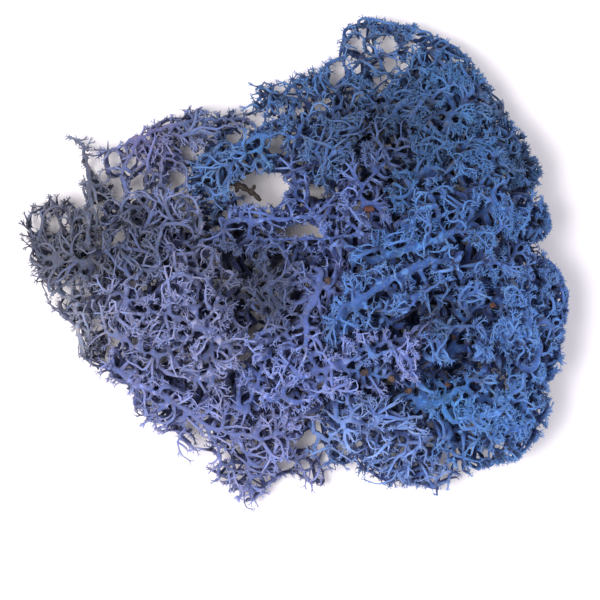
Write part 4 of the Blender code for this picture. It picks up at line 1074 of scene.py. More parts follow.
def shoots_from(stalk, fields, habit, rng):
    """New shoots that spread sideways and onwards from the nodes of a stalk."""
    places, links = stalk["places"], stalk["links"]
    top, depth, skyline, valley = values_at(fields, places, "top", "depth", "skyline", "valley")
    buried = np.minimum(top - places[:, 2], 1.6 * depth)
    last = ends_of(links)
    picked = np.where(np.isin(stalk["kinds"], habit["from"]) & (buried < habit["deepest"]))[0]
    picked = np.array([node for node in picked if links[node] >= 0], int)
    if not len(picked):
        return []
    order = np.argsort(rng.uniform(0, 1, len(picked)) - 2.0 * last[picked])
    chosen = picked[spread_out(places[picked], np.full(len(picked), habit["gap"]), order)]
    chosen = [node for node in chosen if skyline[node] - valley[node] < 2.0 or rng.uniform() > 0.75]
    shoots = []
    for node in chosen:
        ahead = places[node] - places[links[node]]
        ahead = ahead / max(np.linalg.norm(ahead), 1e-9)
        side = np.cross((0.0, 0.0, 1.0), ahead)
        side = side / max(np.linalg.norm(side), 0.2)
        ways = (0,)
        if not last[node]:
            ways = (-1, 1) if rng.uniform() < habit["both"] else (rng.choice((-1, 1)),)
        for way in ways:
            lift = rng.uniform(-0.15, 0.75) if buried[node] > 0.8 else rng.uniform(-0.5, 0.2)
            line = rng.uniform(0.55, 1.0) * ahead + way * rng.uniform(0.6, 1.0) * side + (0, 0, lift)
            line = unit(line)
            plane = unit(np.array((0, 0, 1.3)) + rng.normal(0, 0.45, 3))
            shoots.append({
                "place": places[node], "ahead": line, "heading": line, "plane": plane,
                "stalk": stalk["index"], "node": int(node), "left": habit["steps"][0],
                "level": 0, "age": 0, "tries": 0, "tone": float(rng.uniform()),
            })
    return shoots


def arms_of(shoot, line, node, place, habit, tufted, rng):
    """The arms that a shoot forks into."""
    level = shoot["level"] + 1
    if level >= len(habit["steps"]):
        return []
    count = 1 + int(rng.uniform() < 0.93) + int(rng.uniform() < habit["triple"])
    angles = {1: (0.0,), 2: (-1.0, 1.0), 3: (-1.25, 0.0, 1.25)}[count]
    spread = habit["spread"] * (1.0 + 0.15 * tufted)
    plane = unit(shoot["plane"] + rng.normal(0, 0.55, 3) + np.array((0, 0, 0.35)))
    side = unit(np.cross(plane, line))
    arms = []
    for angle in angles:
        turn = spread * (angle + rng.uniform(-0.3, 0.3))
        steps = habit["steps"][level] + (1 if rng.uniform() < 0.3 * (1 - tufted) else 0)
        ahead = unit(math.cos(turn) * line + math.sin(turn) * side)
        heading = unit(0.55 * shoot["heading"] + 0.45 * line + 0.25 * math.sin(turn) * side)
        arms.append({**shoot, "place": place, "ahead": ahead, "heading": heading, "plane": plane,
                     "node": node, "left": steps, "level": level, "age": shoot["age"] + 1, "tries": 0})
    return arms


def wanted_lines(of, tufted, depth, fields, habit):
    """Where each shoot wants to go: onwards, outwards near the edge and up to its level."""
    place = of["place"]
    top, out_x, out_y = values_at(fields, place, "top", "out_x", "out_y")
    buried = np.minimum(top - place[:, 2], 1.6 * depth)
    out = np.stack((out_x, out_y, np.zeros(len(place))), axis=1)
    wanted = habit["under"] * np.clip(1.0 - 0.25 * of["level"], 0.1, 1.0)
    rise = np.clip(habit["rise"] * (buried - wanted), -0.45, 0.55) + 0.25 * (of["level"] > 2)
    want = of["ahead"] + 0.4 * of["heading"]
    want = want + out * (np.clip(1 - depth / 6.0, 0, 1) * (0.15 + 0.45 * tufted))[:, None]
    want[:, 2] += rise
    return unit(want)


def spray_fits(tips, age, roof, fields, litter):
    """True where each trial tip of each shoot lies in the room that sprays may fill."""
    flat = tips.reshape(-1, 3)
    level = flat[:, 2]
    depth, top, bottom, lane = values_at(fields, flat, "depth", "top", "bottom", "lane")
    fits = (depth > 0.1) & (level > 0.5) & (level < HIGHEST + 0.05) & (level < top + 0.3) & (level > bottom)
    fits &= level < lane + np.repeat(0.15 + 0.45 * (age < 3), tips.shape[1])
    fits &= (level < looked_up(roof, flat) - 0.1) & clear_of_litter(flat, litter, False)
    return fits.reshape(tips.shape[:2]) & (looked_up(fields["depth"], tips[:, 0]) > 0.1)[:, None]


def grow_sprays(stalks, crowd, owned, fields, litter, habit, rng):
    """Grow forking sprays from the stalks, one short step a round, where there is room."""
    roof = roof_over(stalks, fields) if habit["roofed"] else np.full(COLUMNS * ROWS, OPEN_SKY)
    shoots = [shoot for stalk in stalks for shoot in shoots_from(stalk, fields, habit, rng)]
    balls = ball_of_cells(habit["room"]), ball_of_cells(0.66 * habit["room"])
    turns = np.array(TURNS, float)
    places = [list(stalk["places"]) for stalk in stalks]
    owner, behind = crowd["owner"], crowd["behind"]
    while shoots:
        shoots = [shoots[k] for k in rng.permutation(len(shoots))]
        of = {key: np.array([shoot[key] for shoot in shoots]) for key in shoots[0]}
        which, me = of["stalk"], of["node"]
        first = which * NODE_NUMBERS
        back = np.array([stalks[s]["links"][n] for s, n in zip(which, me)])
        grand = np.array([stalks[s]["links"][n] if n >= 0 else -9 for s, n in zip(which, back)])
        rough = of["age"] == 0
        coarse = np.array([stalks[s]["coarse"] for s in which])
        tufted, depth = values_at(fields, of["place"], "tufted", "depth")
        want = wanted_lines(of, tufted, depth, fields, habit)
        side = unit(np.cross(of["plane"], want))
        over = np.cross(want, side)
        lines = want[:, None] + turns[None, :, 0:1] * side[:, None] + turns[None, :, 1:2] * over[:, None]
        lines = unit(lines)
        tips = of["place"][:, None] + (habit["step"] * (1 - 0.28 * tufted))[:, None, None] * lines
        fits = spray_fits(tips, of["age"], roof, fields, litter)
        fits &= owner_at(owned, tips) == which[:, None]
        cells = crowd_cells(tips)
        own, past = owner[cells] - first[:, None], behind[cells] - first[:, None]
        near = np.stack((me, back, grand), axis=1)[:, None]
        free = (owner[cells] < 0) | (own[..., None] == near).any(2)
        free |= (past[..., None] == near[..., :2]).any(2)
        free |= rough[:, None] & (own >= 0) & (own < coarse[:, None])
        score = 1.0 - (0.7 * np.abs(turns).sum(1))[None] + rng.uniform(0, 0.22, fits.shape)
        score[~(fits & free)] = -9.0
        best = score.argmax(1)
        onward = []
        for k, shoot in enumerate(shoots):
            s, cell = shoot["stalk"], cells[k, best[k]]
            if score[k, best[k]] < -5:
                stalks[s]["blocked"].add(shoot["node"])
                continue
            taken, under = owner[cell] - first[k], behind[cell] - first[k]
            if owner[cell] >= 0 and taken not in (me[k], back[k], grand[k]) and under not in (me[k], back[k]):
                if not rough[k] or not 0 <= taken < coarse[k]:
                    shoot["tries"] += 1
                    if shoot["tries"] < 3:
                        onward.append(shoot)
                    continue
            tip, line = tips[k, best[k]], lines[k, best[k]]
            node = len(places[s])
            places[s].append(tip)
            stalks[s]["links"].append(shoot["node"])
            stalks[s]["kinds"].append(habit["kind"])
            stalks[s]["tones"].append(shoot["tone"])
            ball = balls[int(tufted[k] > 0.5 or depth[k] < 2.5)]
            claim(crowd, cell, ball, first[k] + node, first[k] + shoot["node"])
            left = shoot["left"] - 1
            if left > 0:
                onward.append({**shoot, "place": tip, "ahead": line, "node": node, "left": left,
                               "age": shoot["age"] + 1, "tries": 0})
            else:
                onward.extend(arms_of(shoot, line, node, tip, habit, tufted[k], rng))
        shoots = onward
    for stalk, grown in zip(stalks, places):
        stalk["places"] = np.array(grown)


def grown_stalks(fields, litter):
    """Every stalk grown out: coarse growth, lower twigs, sprays and filling twigs."""
    stalks = [new_stalk(name, index, litter) for index, name in enumerate(STALKS)]
    fields["top"] = np.maximum(fields["top"], crown_over(stalks, (3, 2, 1)) + 0.5)
    every = np.concatenate([stalk["places"] for stalk in stalks])
    owners = np.concatenate([np.full(stalk["coarse"], stalk["index"]) for stalk in stalks])
    territory = tree_over(every), owners
    tips = np.concatenate([stalk["places"][np.array(stalk["kinds"]) == TWIG] for stalk in stalks])
    rng = np.random.default_rng(7)
    grow_lower(stalks, lower_pulls(rng, fields, tips, litter), fields, territory)
    owned = owned_cells(territory)
    crowd = crowd_of(stalks)
    for habit in (SPRAYS, FILLING):
        grow_sprays(stalks, crowd, owned, fields, litter, habit, rng)
    fields["crown"] = crown_over(stalks, (2, 1, 1))
    return stalks


def eased(points, links, loads, fixed):
    """Fine nodes drawn towards the middle of their neighbours, so twigs run smoothly."""
    points = points.copy()
    onward = np.arange(len(points))
    best = np.zeros(len(points))
    for index, link in enumerate(links):
        if link >= 0 and loads[index] > best[link]:
            best[link] = loads[index]
            onward[link] = index
    back = np.array([link if link >= 0 else index for index, link in enumerate(links)])
    free = np.arange(len(points)) >= fixed
    for share in (0.5, 0.3):
        moved = (1 - share) * points + 0.5 * share * (points[back] + points[onward])
        points[free] = moved[free]
    return points


def frames_along(points):
    """Two directions square to a run of points at every point of it."""
    ahead = np.empty_like(points)
    ahead[1:-1] = points[2:] - points[:-2]
    ahead[0] = points[1] - points[0]
    ahead[-1] = points[-1] - points[-2]
    ahead /= np.maximum(np.linalg.norm(ahead, axis=1), 1e-9)[:, None]
    level = np.array((ahead[0][1], -ahead[0][0], 0.0))
    side = level if np.linalg.norm(level) > 0.25 else np.array((1.0, 0.0, 0.0))
    sides = np.empty_like(points)
    for k, direction in enumerate(ahead):
        side = side - (side @ direction) * direction
        side = side / max(math.sqrt(side @ side), 1e-9)
        sides[k] = side
    return sides, np.cross(ahead, sides)


def empty_shell():
    """Lists that the corners and faces of one piece are gathered in."""
    return {"corners": [], "faces": [], "tip": [], "tone": [], "count": 0}


def gather(shell, corners, tip, tone):
    """Add corners to a shell, with how near its tip and how tinted each of them is."""
    shell["corners"].append(corners)
    shell["tip"].append(np.broadcast_to(tip, len(corners)))
    shell["tone"].append(np.broadcast_to(tone, len(corners)))
    shell["count"] += len(corners)


def add_tube(shell, points, radii, sides, tips, tone, flat=1.0):
    """Tapered tube round a run of points, closed at both ends."""
    across, over = frames_along(points)
    angles = 2 * math.pi * np.arange(sides) / sides
    wide = np.sqrt(flat)
    ring = (across[:, None] * (np.cos(angles) * wide)[None, :, None]
            + over[:, None] * (np.sin(angles) / wide)[None, :, None])
    corners = points[:, None] + ring * radii[:, None, None]
    start, side = shell["count"], np.arange(sides)
    last = start + sides * (len(points) - 1)
    low, turn = np.arange(start, last, sides)[:, None], (side + 1) % sides
    quads = np.stack((low + side, low + turn, low + sides + turn, low + sides + side), axis=2)
    shell["faces"].extend(quads.reshape(-1, 4).tolist())
    shell["faces"].append(list(range(start + sides - 1, start - 1, -1)))
    shell["faces"].append(list(range(last, last + sides)))
    gather(shell, corners.reshape(-1, 3), np.repeat(tips, sides), tone)


def add_prongs(shell, roots, ends, widths, tips, tones):
    """Short pointed three-sided fingers, many at once."""
    line = unit(ends - roots)
    other = np.where(np.abs(line[:, 2:3]) < 0.8, (0.0, 0.0, 1.0), (1.0, 0.0, 0.0))
    across = unit(np.cross(line, other))
    over = np.cross(line, across)
    corners = []
    for turn in (2 * math.pi * k / 3 for k in range(3)):
        corners.append(roots + widths[:, None] * (math.cos(turn) * across + math.sin(turn) * over))
    start = shell["count"] + 4 * np.arange(len(roots))[:, None]
    for face in ((0, 1, 3), (1, 2, 3), (2, 0, 3), (2, 1, 0)):
        shell["faces"].extend((start + np.array(face)).tolist())
    # The point of each finger is paler still, partly as a painted highlight.
    tips = np.stack([tips] * 3 + [np.minimum(tips + 0.3, 1.0)], axis=1)
    gather(shell, np.stack(corners + [ends], axis=1).reshape(-1, 3), tips.ravel(), np.repeat(tones, 4))


def add_web(shell, fork, one, two, thick, tip, tone):
    """Thin web of skin with a hollowed edge between two arms of a fork."""
    square = np.cross(one - fork, two - fork)
    size = np.linalg.norm(square)
    if size < 1e-6:
        return
    lift = 0.5 * thick * square / size
    rim = np.array((fork, one, fork + 0.6 * (0.5 * (one + two) - fork), two))
    for face in ((0, 1, 2), (0, 2, 3), (6, 5, 4), (7, 6, 4),
                 (0, 4, 5, 1), (1, 5, 6, 2), (2, 6, 7, 3), (3, 7, 4, 0)):
        shell["faces"].append([shell["count"] + corner for corner in face])
    gather(shell, np.concatenate((rim + lift, rim - lift)), tip, tone)


def set_attributes(data, corners, tip, tone, fields):
    """Store how near its tip, how tinted and how deep in the clump each corner is; the depth sets how much
    painted shade the corner gets.
    """
    crown, skyline, depth, lane = values_at(fields, corners, "crown", "skyline", "depth", "lane")
    buried = np.minimum(0.7 * crown + 0.3 * skyline - corners[:, 2], 0.6 + 2.5 * np.clip(depth, 0, 9))
    # Bare stems that show from above get less painted shade.
    bare = corners[:, 2] > lane - 0.4
    buried[bare] = np.minimum(0.4 * buried[bare], 1.6)
    for name, values in (("tip", tip), ("tone", tone), ("deep", np.clip(buried / 6.0, 0, 1))):
        place = data.attributes.get(name) or data.attributes.new(name, "FLOAT", "POINT")
        place.data.foreach_set("value", values.astype(np.float32))


def mesh_of(name, shell, fields=None):
    """Mesh object from gathered corners and faces, in millimetres."""
    data = bpy.data.meshes.new(name)
    corners = np.concatenate(shell["corners"])
    corners[:, 2] = np.maximum(corners[:, 2], LOWEST)
    data.from_pydata(corners.tolist(), [], shell["faces"])
    if fields:
        set_attributes(data, corners, np.concatenate(shell["tip"]), np.concatenate(shell["tone"]), fields)
    item = bpy.data.objects.new(name, data)
    bpy.context.scene.collection.objects.link(item)
    return item


def run_together(item, voxel, rounds):
    """Remesh the tubes of a piece into one smooth closed skin."""
    bpy.context.view_layer.objects.active = item
    item.select_set(True)
    remesh = item.modifiers.new("run together", "REMESH")
    remesh.mode = "VOXEL"
    remesh.voxel_size = voxel
    ease = item.modifiers.new("ease", "SMOOTH")
    ease.factor = 0.5
    ease.iterations = rounds
    for name in (remesh.name, ease.name):
        bpy.ops.object.modifier_apply(modifier=name)
    item.select_set(False)


def walk(links, index, steps):
    """The nodes below a node, down to the given number of steps."""
    seen = set()
    for _ in range(steps):
        if index < 0:
            break
        seen.add(index)
        index = links[index]
    return seen


def bridges(stalk, fields, rng):
    """Pairs of nodes where the end of a twig has grown onto another twig."""
    points, links = stalk["places"], stalk["links"]
    tree = tree_over(points)
    netted = looked_up(fields["netted"], points)
    found = {}
    for end in np.where(ends_of(links))[0]:
        if end not in stalk["blocked"] or stalk["kinds"][end] <= LOWER:
            continue
        if rng.uniform() > netted[end] + 0.1:
            continue
        near = walk(links, end, 6)
        for _, other, gap in tree.find_range(points[end], 1.25):
            if gap >= 0.35 and other not in near and not near & walk(links, other, 3):
                found[end] = other
                break
    return found


def stem_body(stalk, lines, fields, rng):
    """Stout stems and arms run together into one smooth body with webs in the forks."""
    points, shell, onward = stalk["places"], empty_shell(), {}
    for line in lines:
        if len(line) < 2:
            continue
        knots = 1 + 0.16 * np.sin(np.arange(len(line)) * 1.1 + rng.uniform(0, 6))
        widths = stalk["radii"][line] * knots
        widths[0] = min(widths[0], 1.25 * widths[1])
        add_tube(shell, points[line], widths + 0.03, 8, np.zeros(len(line)), 0.5, 1.3)
        for k, index in enumerate(line[:-1]):
            onward.setdefault(index, []).append(line[k + 1:k + 6])
    for index, arms in onward.items():
        for k, one in enumerate(arms):
            for two in arms[k + 1:]:
                reach = min(len(one), len(two), 3) - 1
                a, b = points[one[reach]], points[two[reach]]
                if reach >= 1 and np.linalg.norm(a - b) < 2.2:
                    add_web(shell, points[index], a, b, 0.56, 0.0, 0.5)
    item = mesh_of(stalk["name"] + "_stems", shell, fields)
    run_together(item, VOXEL, 3)
    corners = np.empty(3 * len(item.data.vertices), np.float32)
    item.data.vertices.foreach_get("co", corners)
    corners = corners.reshape(-1, 3)
    corners[:, 2] = np.maximum(corners[:, 2], LOWEST)
    item.data.vertices.foreach_set("co", corners.ravel())
    tree = tree_over(points)
    nearest = np.array([tree.find(corner)[1] for corner in corners])
    set_attributes(item.data, corners, stalk["tips"][nearest], stalk["tones"][nearest], fields)
    return item


def radii_of(stalk, loads, hidden):
    """Radius at each node, from how many twig ends it carries and what kind it is."""
    most = STALKS[stalk["name"]][1]
    kinds = np.array(stalk["kinds"])
    stem, twig, lower, filler, spray = (kinds == kind for kind in range(5))
    radii = FINE_TIP * loads ** (1 / FINE_POWER)
    radii[stem] = np.maximum(most * (loads[stem] / loads[stem].max()) ** 0.28, min(0.36, most))
    least = np.clip(0.13 + 0.05 * hidden, 0.16, 0.24)
    radii[twig] = np.clip(radii[twig], least[twig], 0.8 * most)
    least = np.clip(0.13 + 0.085 * hidden, 0.18, LOWER_RADIUS)
    radii[lower] = np.clip(radii[lower], least[lower], least[lower] + 0.06)
    radii[filler] = np.minimum(radii[filler], 0.3)
    radii[spray] = np.minimum(radii[spray], 0.85 * most)
    for node, kids in enumerate(children_of(stalk["links"])):
        if kinds[node] > LOWER and len(kids) > 1:
            radii[node] *= 1.15
        if not kids and kinds[node] <= LOWER:
            radii[node] *= 0.55
    return radii


def thinned(run, slack):
    """Places in a run of points that are needed to keep its shape within the slack."""
    if len(run) < 3:
        return list(range(len(run)))
    line = run[-1] - run[0]
    share = np.clip((run - run[0]) @ line / max(line @ line, 1e-9), 0, 1)
    gaps = np.linalg.norm(run - run[0] - share[:, None] * line, axis=1)
    worst = int(gaps.argmax())
    if gaps[worst] <= slack:
        return [0, len(run) - 1]
    first = thinned(run[:worst + 1], slack)
    return first[:-1] + [worst + k for k in thinned(run[worst:], slack)]


def add_twigs(shell, stalk, lines, fields, rng):
    """Tubes of every twig, webs in its forks, bridges to its neighbours and forked tips."""
    joins = bridges(stalk, fields, rng)
    ends = []
    for line in lines:
        if len(line) < 2:
            continue
        end = line[-1]
        run, wide, tips = (stalk[key][line] for key in ("places", "radii", "tips"))
        wide[0] = min(wide[0] * 0.95, 1.7 * wide[1])
        tone = stalk["tones"][end] + rng.uniform(-0.1, 0.1)
        deep = stalk["kinds"][end] == LOWER
        kept = thinned(run, THINNING * (2.5 if deep else 1))
        run, wide, tips = run[kept], wide[kept], tips[kept]
        if end in joins:
            run = np.vstack((run, stalk["places"][joins[end]]))
            wide = np.append(wide, max(wide[-1], 0.12))
            tips = np.append(tips, tips[-1])
        elif not deep or stalk["hidden"][end] < 2.5:
            ends.append((end, line[-2], tone))
        most = wide[1:].max()
        if deep:
            sides, flat = (3 if most > 0.3 else 4), 1.0 + 4.0 * max(most - 0.25, 0.0)
        else:
            sides = 3 + sum(int(most > size) for size in (0.16, 0.24, 0.34))
            flat = 1.0 + 0.35 * rng.uniform()
        add_tube(shell, run, wide, sides, tips, tone, flat)
    add_fork_webs(shell, stalk)
    add_points(shell, stalk, ends, fields, rng)


def add_fork_webs(shell, stalk):
    """Webs in the forks of the finer twigs."""
    places, radii, tones = stalk["places"], stalk["radii"], stalk["tones"]
    for index, kids in enumerate(children_of(stalk["links"])):
        if len(kids) < 2 or radii[index] < 0.2:
            continue
        one, two = sorted(kids, key=lambda kid: -radii[kid])[:2]
        if stalk["kinds"][two] <= LOWER or radii[two] > STOUT:
            continue
        if np.linalg.norm(places[one] - places[two]) < 0.95:
            add_web(shell, places[index], places[one], places[two], 1.2 * radii[two], 0.25, tones[two])


def add_points(shell, stalk, ends, fields, rng):
    """Fans of fine forked fingers at the ends of twigs, and spurs beside them."""
    places, links, hidden, tones = (stalk[key] for key in ("places", "links", "hidden", "tones"))
    tufted = looked_up(fields["tufted"], places)
    prongs = []

    def prong(root, line, length, width, tip, tone):
        prongs.append((*root, *(root + length * line), width, tip, tone))

    def leaning(line, lean, turn, side, other):
        spread = math.cos(turn) * side + 0.7 * math.sin(turn) * other
        return unit(math.cos(lean) * line + math.sin(lean) * spread)

    def square_to(line, level):
        side = rng.normal(0, 1, 3) * (1, 1, level)
        return unit(side - (side @ line) * line)

    for end, before, tone in ends:
        line = unit(places[end] - places[before])
        side = square_to(line, 0.5)
        other = np.cross(line, side)
        shown = hidden[end] < 1.8
        count = 2 + shown * int(rng.uniform() < 0.6)
        for k in range(count):
            turn = 2 * math.pi * (k + rng.uniform(-0.2, 0.2)) / count
            finger = leaning(line, rng.uniform(0.35, 0.9), turn, side, other)
            length = rng.uniform(0.7, 1.2) * (1.1 - 0.35 * tufted[end])
            prong(places[end] - 0.05 * line, finger, length, 0.125, 0.7, tone)
            middle = places[end] + 0.45 * length * finger
            for way in (-1, 1) if shown else ():
                if rng.uniform() < 0.85:
                    roll = rng.uniform(-0.6, 0.6) + math.pi * (way < 0)
                    twist = leaning(finger, 0.75, roll, side, other)
                    prong(middle, twist, rng.uniform(0.4, 0.6), 0.085, 0.8, tone)
    for index, (kind, link) in enumerate(zip(stalk["kinds"], links)):
        stem = kind < LOWER
        if kind == LOWER or link < 0 or hidden[index] > (3.5 if stem else 1.8):
            continue
        if stalk["loads"][index] > 6 and not stem or rng.uniform() > (0.75 if stem else 0.3):
            continue
        line = unit(places[index] - places[link])
        spread = square_to(line, 0.6)
        root = places[index] + (0.8 * stalk["radii"][index] * spread if stem else 0.0)
        finger = unit((0.45 if stem else 0.75) * line + 0.65 * spread)
        prong(root, finger, rng.uniform(0.5, 0.85), 0.13 if stem else 0.11, 0.6, tones[index])
        if stem:
            side = unit(finger + 0.9 * line)
            prong(root + 0.3 * finger, side, rng.uniform(0.35, 0.6), 0.09, 0.7, tones[index])
    prongs = np.array(prongs)
    gap = looked_up(fields["gaps"], prongs[:, 3:6])
    prongs[gap, 3:6] -= 0.5 * (prongs[gap, 3:6] - prongs[gap, 0:3])
    prongs[:, 5] = np.clip(prongs[:, 5], 0.15, 28.2)
    add_prongs(shell, prongs[:, 0:3], prongs[:, 3:6], prongs[:, 6], prongs[:, 7], prongs[:, 8])


def mesh_stalk(stalk, fields):
    """Stems and twigs of one grown stalk as one mesh object."""
    rng = np.random.default_rng(100 + stalk["index"])
    links = stalk["links"]
    loads = carried(links)
    places = eased(stalk["places"], links, loads, stalk["coarse"])
    hidden = cover_over(places, fields)
    radii = radii_of(stalk, loads, hidden)
    kinds = np.array(stalk["kinds"])
    # How near each node is to a twig end, which pales its colour: partly a painted highlight.
    tips = np.clip(1.15 - 0.4 * np.log2(1 + loads) ** 0.8, 0, 1) * 0.95
    stalk = {**stalk, "places": places, "loads": loads, "radii": radii, "hidden": hidden, "kinds": kinds,
             "tips": tips, "tones": np.array(stalk["tones"])}
    is_stout = (kinds == STEM) | ((radii >= STOUT) & (kinds != LOWER))
    stout, fine = [], []
    for line in lines_of(links, loads):
        last = next((k for k, node in enumerate(line) if not is_stout[node]), len(line))
        stout.append(line[:last])
        fine.append(line[max(last - 1, 0):] if last < len(line) else line[-2:])
    body = stem_body(stalk, stout, fields, rng)
    shell = empty_shell()
    add_twigs(shell, stalk, fine, fields, rng)
    twigs = mesh_of(stalk["name"] + "_twigs", shell, fields)
    bpy.ops.object.select_all(action="DESELECT")
    twigs.select_set(True)
    body.select_set(True)
    bpy.context.view_layer.objects.active = body
    bpy.ops.object.join()
    body.select_set(False)
    return body


def dry_flake(name, seed):
    """Curled scrap of leaf or bark with a torn edge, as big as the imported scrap."""
    rng = np.random.default_rng(seed)
    low, high = (1000 * np.array(corner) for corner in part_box(name))
    middle, half = 0.5 * (low + high) + (*MIDDLE, 0), 0.5 * (high - low)
    spokes = 22
    turns = 2 * math.pi * np.arange(spokes) / spokes
    torn = 0.84 + 0.1 * np.sin(2 * turns + rng.uniform(0, 6))
    torn = torn + 0.09 * np.sin(5 * turns + rng.uniform(0, 6))
    torn += rng.uniform(-0.09, 0.06, spokes)
    bpy.ops.mesh.primitive_circle_add(vertices=spokes, radius=1.0, fill_type="TRIFAN")
    flake = bpy.context.object
    bpy.ops.object.mode_set(mode="EDIT")
    bpy.ops.mesh.select_all(action="SELECT")
    bpy.ops.mesh.subdivide(number_cuts=2)
    bpy.ops.object.mode_set(mode="OBJECT")
    bend, tilt = rng.uniform(0.5, 0.9), rng.uniform(-0.35, 0.35, 2)
    for corner in flake.data.vertices:
        x, y = corner.co.x, corner.co.y
        angle = (math.atan2(y, x) % (2 * math.pi)) / (2 * math.pi) * spokes
        share = angle - int(angle)
        edge = (1 - share) * torn[int(angle) % spokes] + share * torn[(int(angle) + 1) % spokes]
        lift = bend * (y * y - 0.4) * (0.8 if y > 0 else 0.4) + tilt[0] * x + tilt[1] * y
        lift += 0.12 * math.sin(7 * x + 3 * y) * math.hypot(x, y)
        corner.co = (middle[0] + half[0] * edge * x, middle[1] + half[1] * edge * y,
                     middle[2] + half[2] * (0.75 * lift - 0.1))
    solid = flake.modifiers.new("thickness", "SOLIDIFY")
    solid.thickness = 0.16
    solid.offset = 0.0
    bpy.ops.object.modifier_apply(modifier=solid.name)
    flake.select_set(False)
    return flake


def dead_twig_body():
    """Short dead twig with knots, wrinkled bark and the stubs of side twigs."""
    rng = np.random.default_rng(5)
    shell = empty_shell()
    for line, radii in dead_twig():
        run = np.array(line, float)
        points, widths = [run[0]], [radii[0]]
        shares = np.arange(1, 7) / 6
        for k in range(len(run) - 1):
            points.extend(spline_between(run, k, shares))
            widths.extend(np.interp(shares, (0, 1), radii[k:k + 2]))
        points, count = np.array(points), len(points)
        points[1:-1] += rng.normal(0, 0.09, points[1:-1].shape)
        knots = 1 + 0.2 * np.sin(1.7 * np.arange(count) + rng.uniform(0, 6))
        knots = knots + rng.uniform(-0.2, 0.2, count)
        add_tube(shell, points, np.array(widths) * knots, 9, np.zeros(count), 0.5, 1.1)
    knees = np.array(DEAD_TWIG)
    for _ in range(18):
        k = rng.integers(0, len(DEAD_TWIG) - 1)
        place = knees[k] + rng.uniform(0, 1) * (knees[k + 1] - knees[k])
        line = unit(rng.normal(0, 1, 3))
        stub = np.array([place, place + rng.uniform(0.5, 0.85) * line])
        add_tube(shell, stub, np.array([0.24, 0.1]), 6, np.zeros(2), 0.5)
    item = mesh_of("dead_twig_body", shell)
    run_together(item, 0.13, 1)
    return item


def wire(tree, node, wires):
    """Give each named input of a node a fixed value, or the output of another node."""
    for place, value in wires.items():
        if isinstance(value, bpy.types.NodeSocket):
            tree.links.new(value, node.inputs[place])
        else:
            node.inputs[place].default_value = value


def new_node(tree, kind, wires, **settings):
    """Node in a tree, wired up, with its settings given by name."""
    node = tree.nodes.new(kind)
    for name, value in settings.items():
        setattr(node, name, value)
    wire(tree, node, wires)
    return node


class Effect:
    """Shader group that makes a colour, a roughness and a height out of two colours."""

    def __init__(self, name, *colours):
        self.tree = bpy.data.node_groups.new(name, "ShaderNodeTree")
        new_socket = self.tree.interface.new_socket
        for colour in colours:
            new_socket(colour, in_out="INPUT", socket_type="NodeSocketColor")
        for name, kind in (("Color", "Color"), ("Roughness", "Float"), ("Height", "Float")):
            new_socket(name, in_out="OUTPUT", socket_type="NodeSocket" + kind)
        self.colours = self.tree.nodes.new("NodeGroupInput").outputs
        self.end = self.tree.nodes.new("NodeGroupOutput")
        self.place = self.tree.nodes.new("ShaderNodeTexCoord").outputs["Object"]

    def attribute(self, name):
        """Value that each corner of the mesh holds under a name."""
        return new_node(self.tree, "ShaderNodeAttribute", {}, attribute_name=name).outputs["Fac"]

    def noise(self, scale, detail, roughness):
        """Soft noise over the piece."""
        wires = {"Vector": self.place, "Scale": scale, "Detail": detail, "Roughness": roughness}
        return new_node(self.tree, "ShaderNodeTexNoise", wires).outputs["Fac"]

    def mapped(self, value, low, high, to_low, to_high):
        """A value moved from one range to another."""
        wires = {"Value": value, "From Min": low, "From Max": high, "To Min": to_low, "To Max": to_high}
        return new_node(self.tree, "ShaderNodeMapRange", wires).outputs["Result"]

    def mixed(self, share, one, two, way="MIX"):
        """One colour mixed with another."""
        wires = {0: share, 6: one, 7: two}
        return new_node(self.tree, "ShaderNodeMix", wires, data_type="RGBA", blend_type=way).outputs[2]

    def vector(self, operation, one, two=(0.0, 0.0, 0.0), output="Vector"):
        """Result of a sum with vectors."""
        wires = {0: one, 1: two}
        return new_node(self.tree, "ShaderNodeVectorMath", wires, operation=operation).outputs[output]

    def patch(self, x, y, radius, strength):
        """Share of a soft round patch at a place in plan, in millimetres."""
        spot = self.vector("SUBTRACT", self.place, ((x - MIDDLE[0]) * MM, (y - MIDDLE[1]) * MM, 0.0))
        size = self.vector("LENGTH", self.vector("MULTIPLY", spot, (1.0, 1.0, 0.0)), output="Value")
        return self.mapped(size, 0.35 * radius * MM, 1.25 * radius * MM, strength, 0.0)

    def finished(self, colour, roughness, height):
        """The group, with what it puts out wired up."""
        wire(self.tree, self.end, {"Color": colour, "Roughness": roughness, "Height": height})
        return self.tree


def blotch_group():
    """Group for dry plant scraps: blotched colour, roughness and wrinkle height."""
    dry = Effect("dry_blotches", "Dry Color", "Dark Color")
    share = dry.mapped(dry.noise(1400.0, 4.0, 0.65), 0.38, 0.62, 0.0, 1.0)
    wrinkles = dry.noise(3600.0, 3.0, 0.6)
    colour = dry.mixed(share, dry.colours["Dark Color"], dry.colours["Dry Color"])
    return dry.finished(colour, dry.mapped(wrinkles, 0.3, 0.7, 0.65, 0.95), wrinkles)


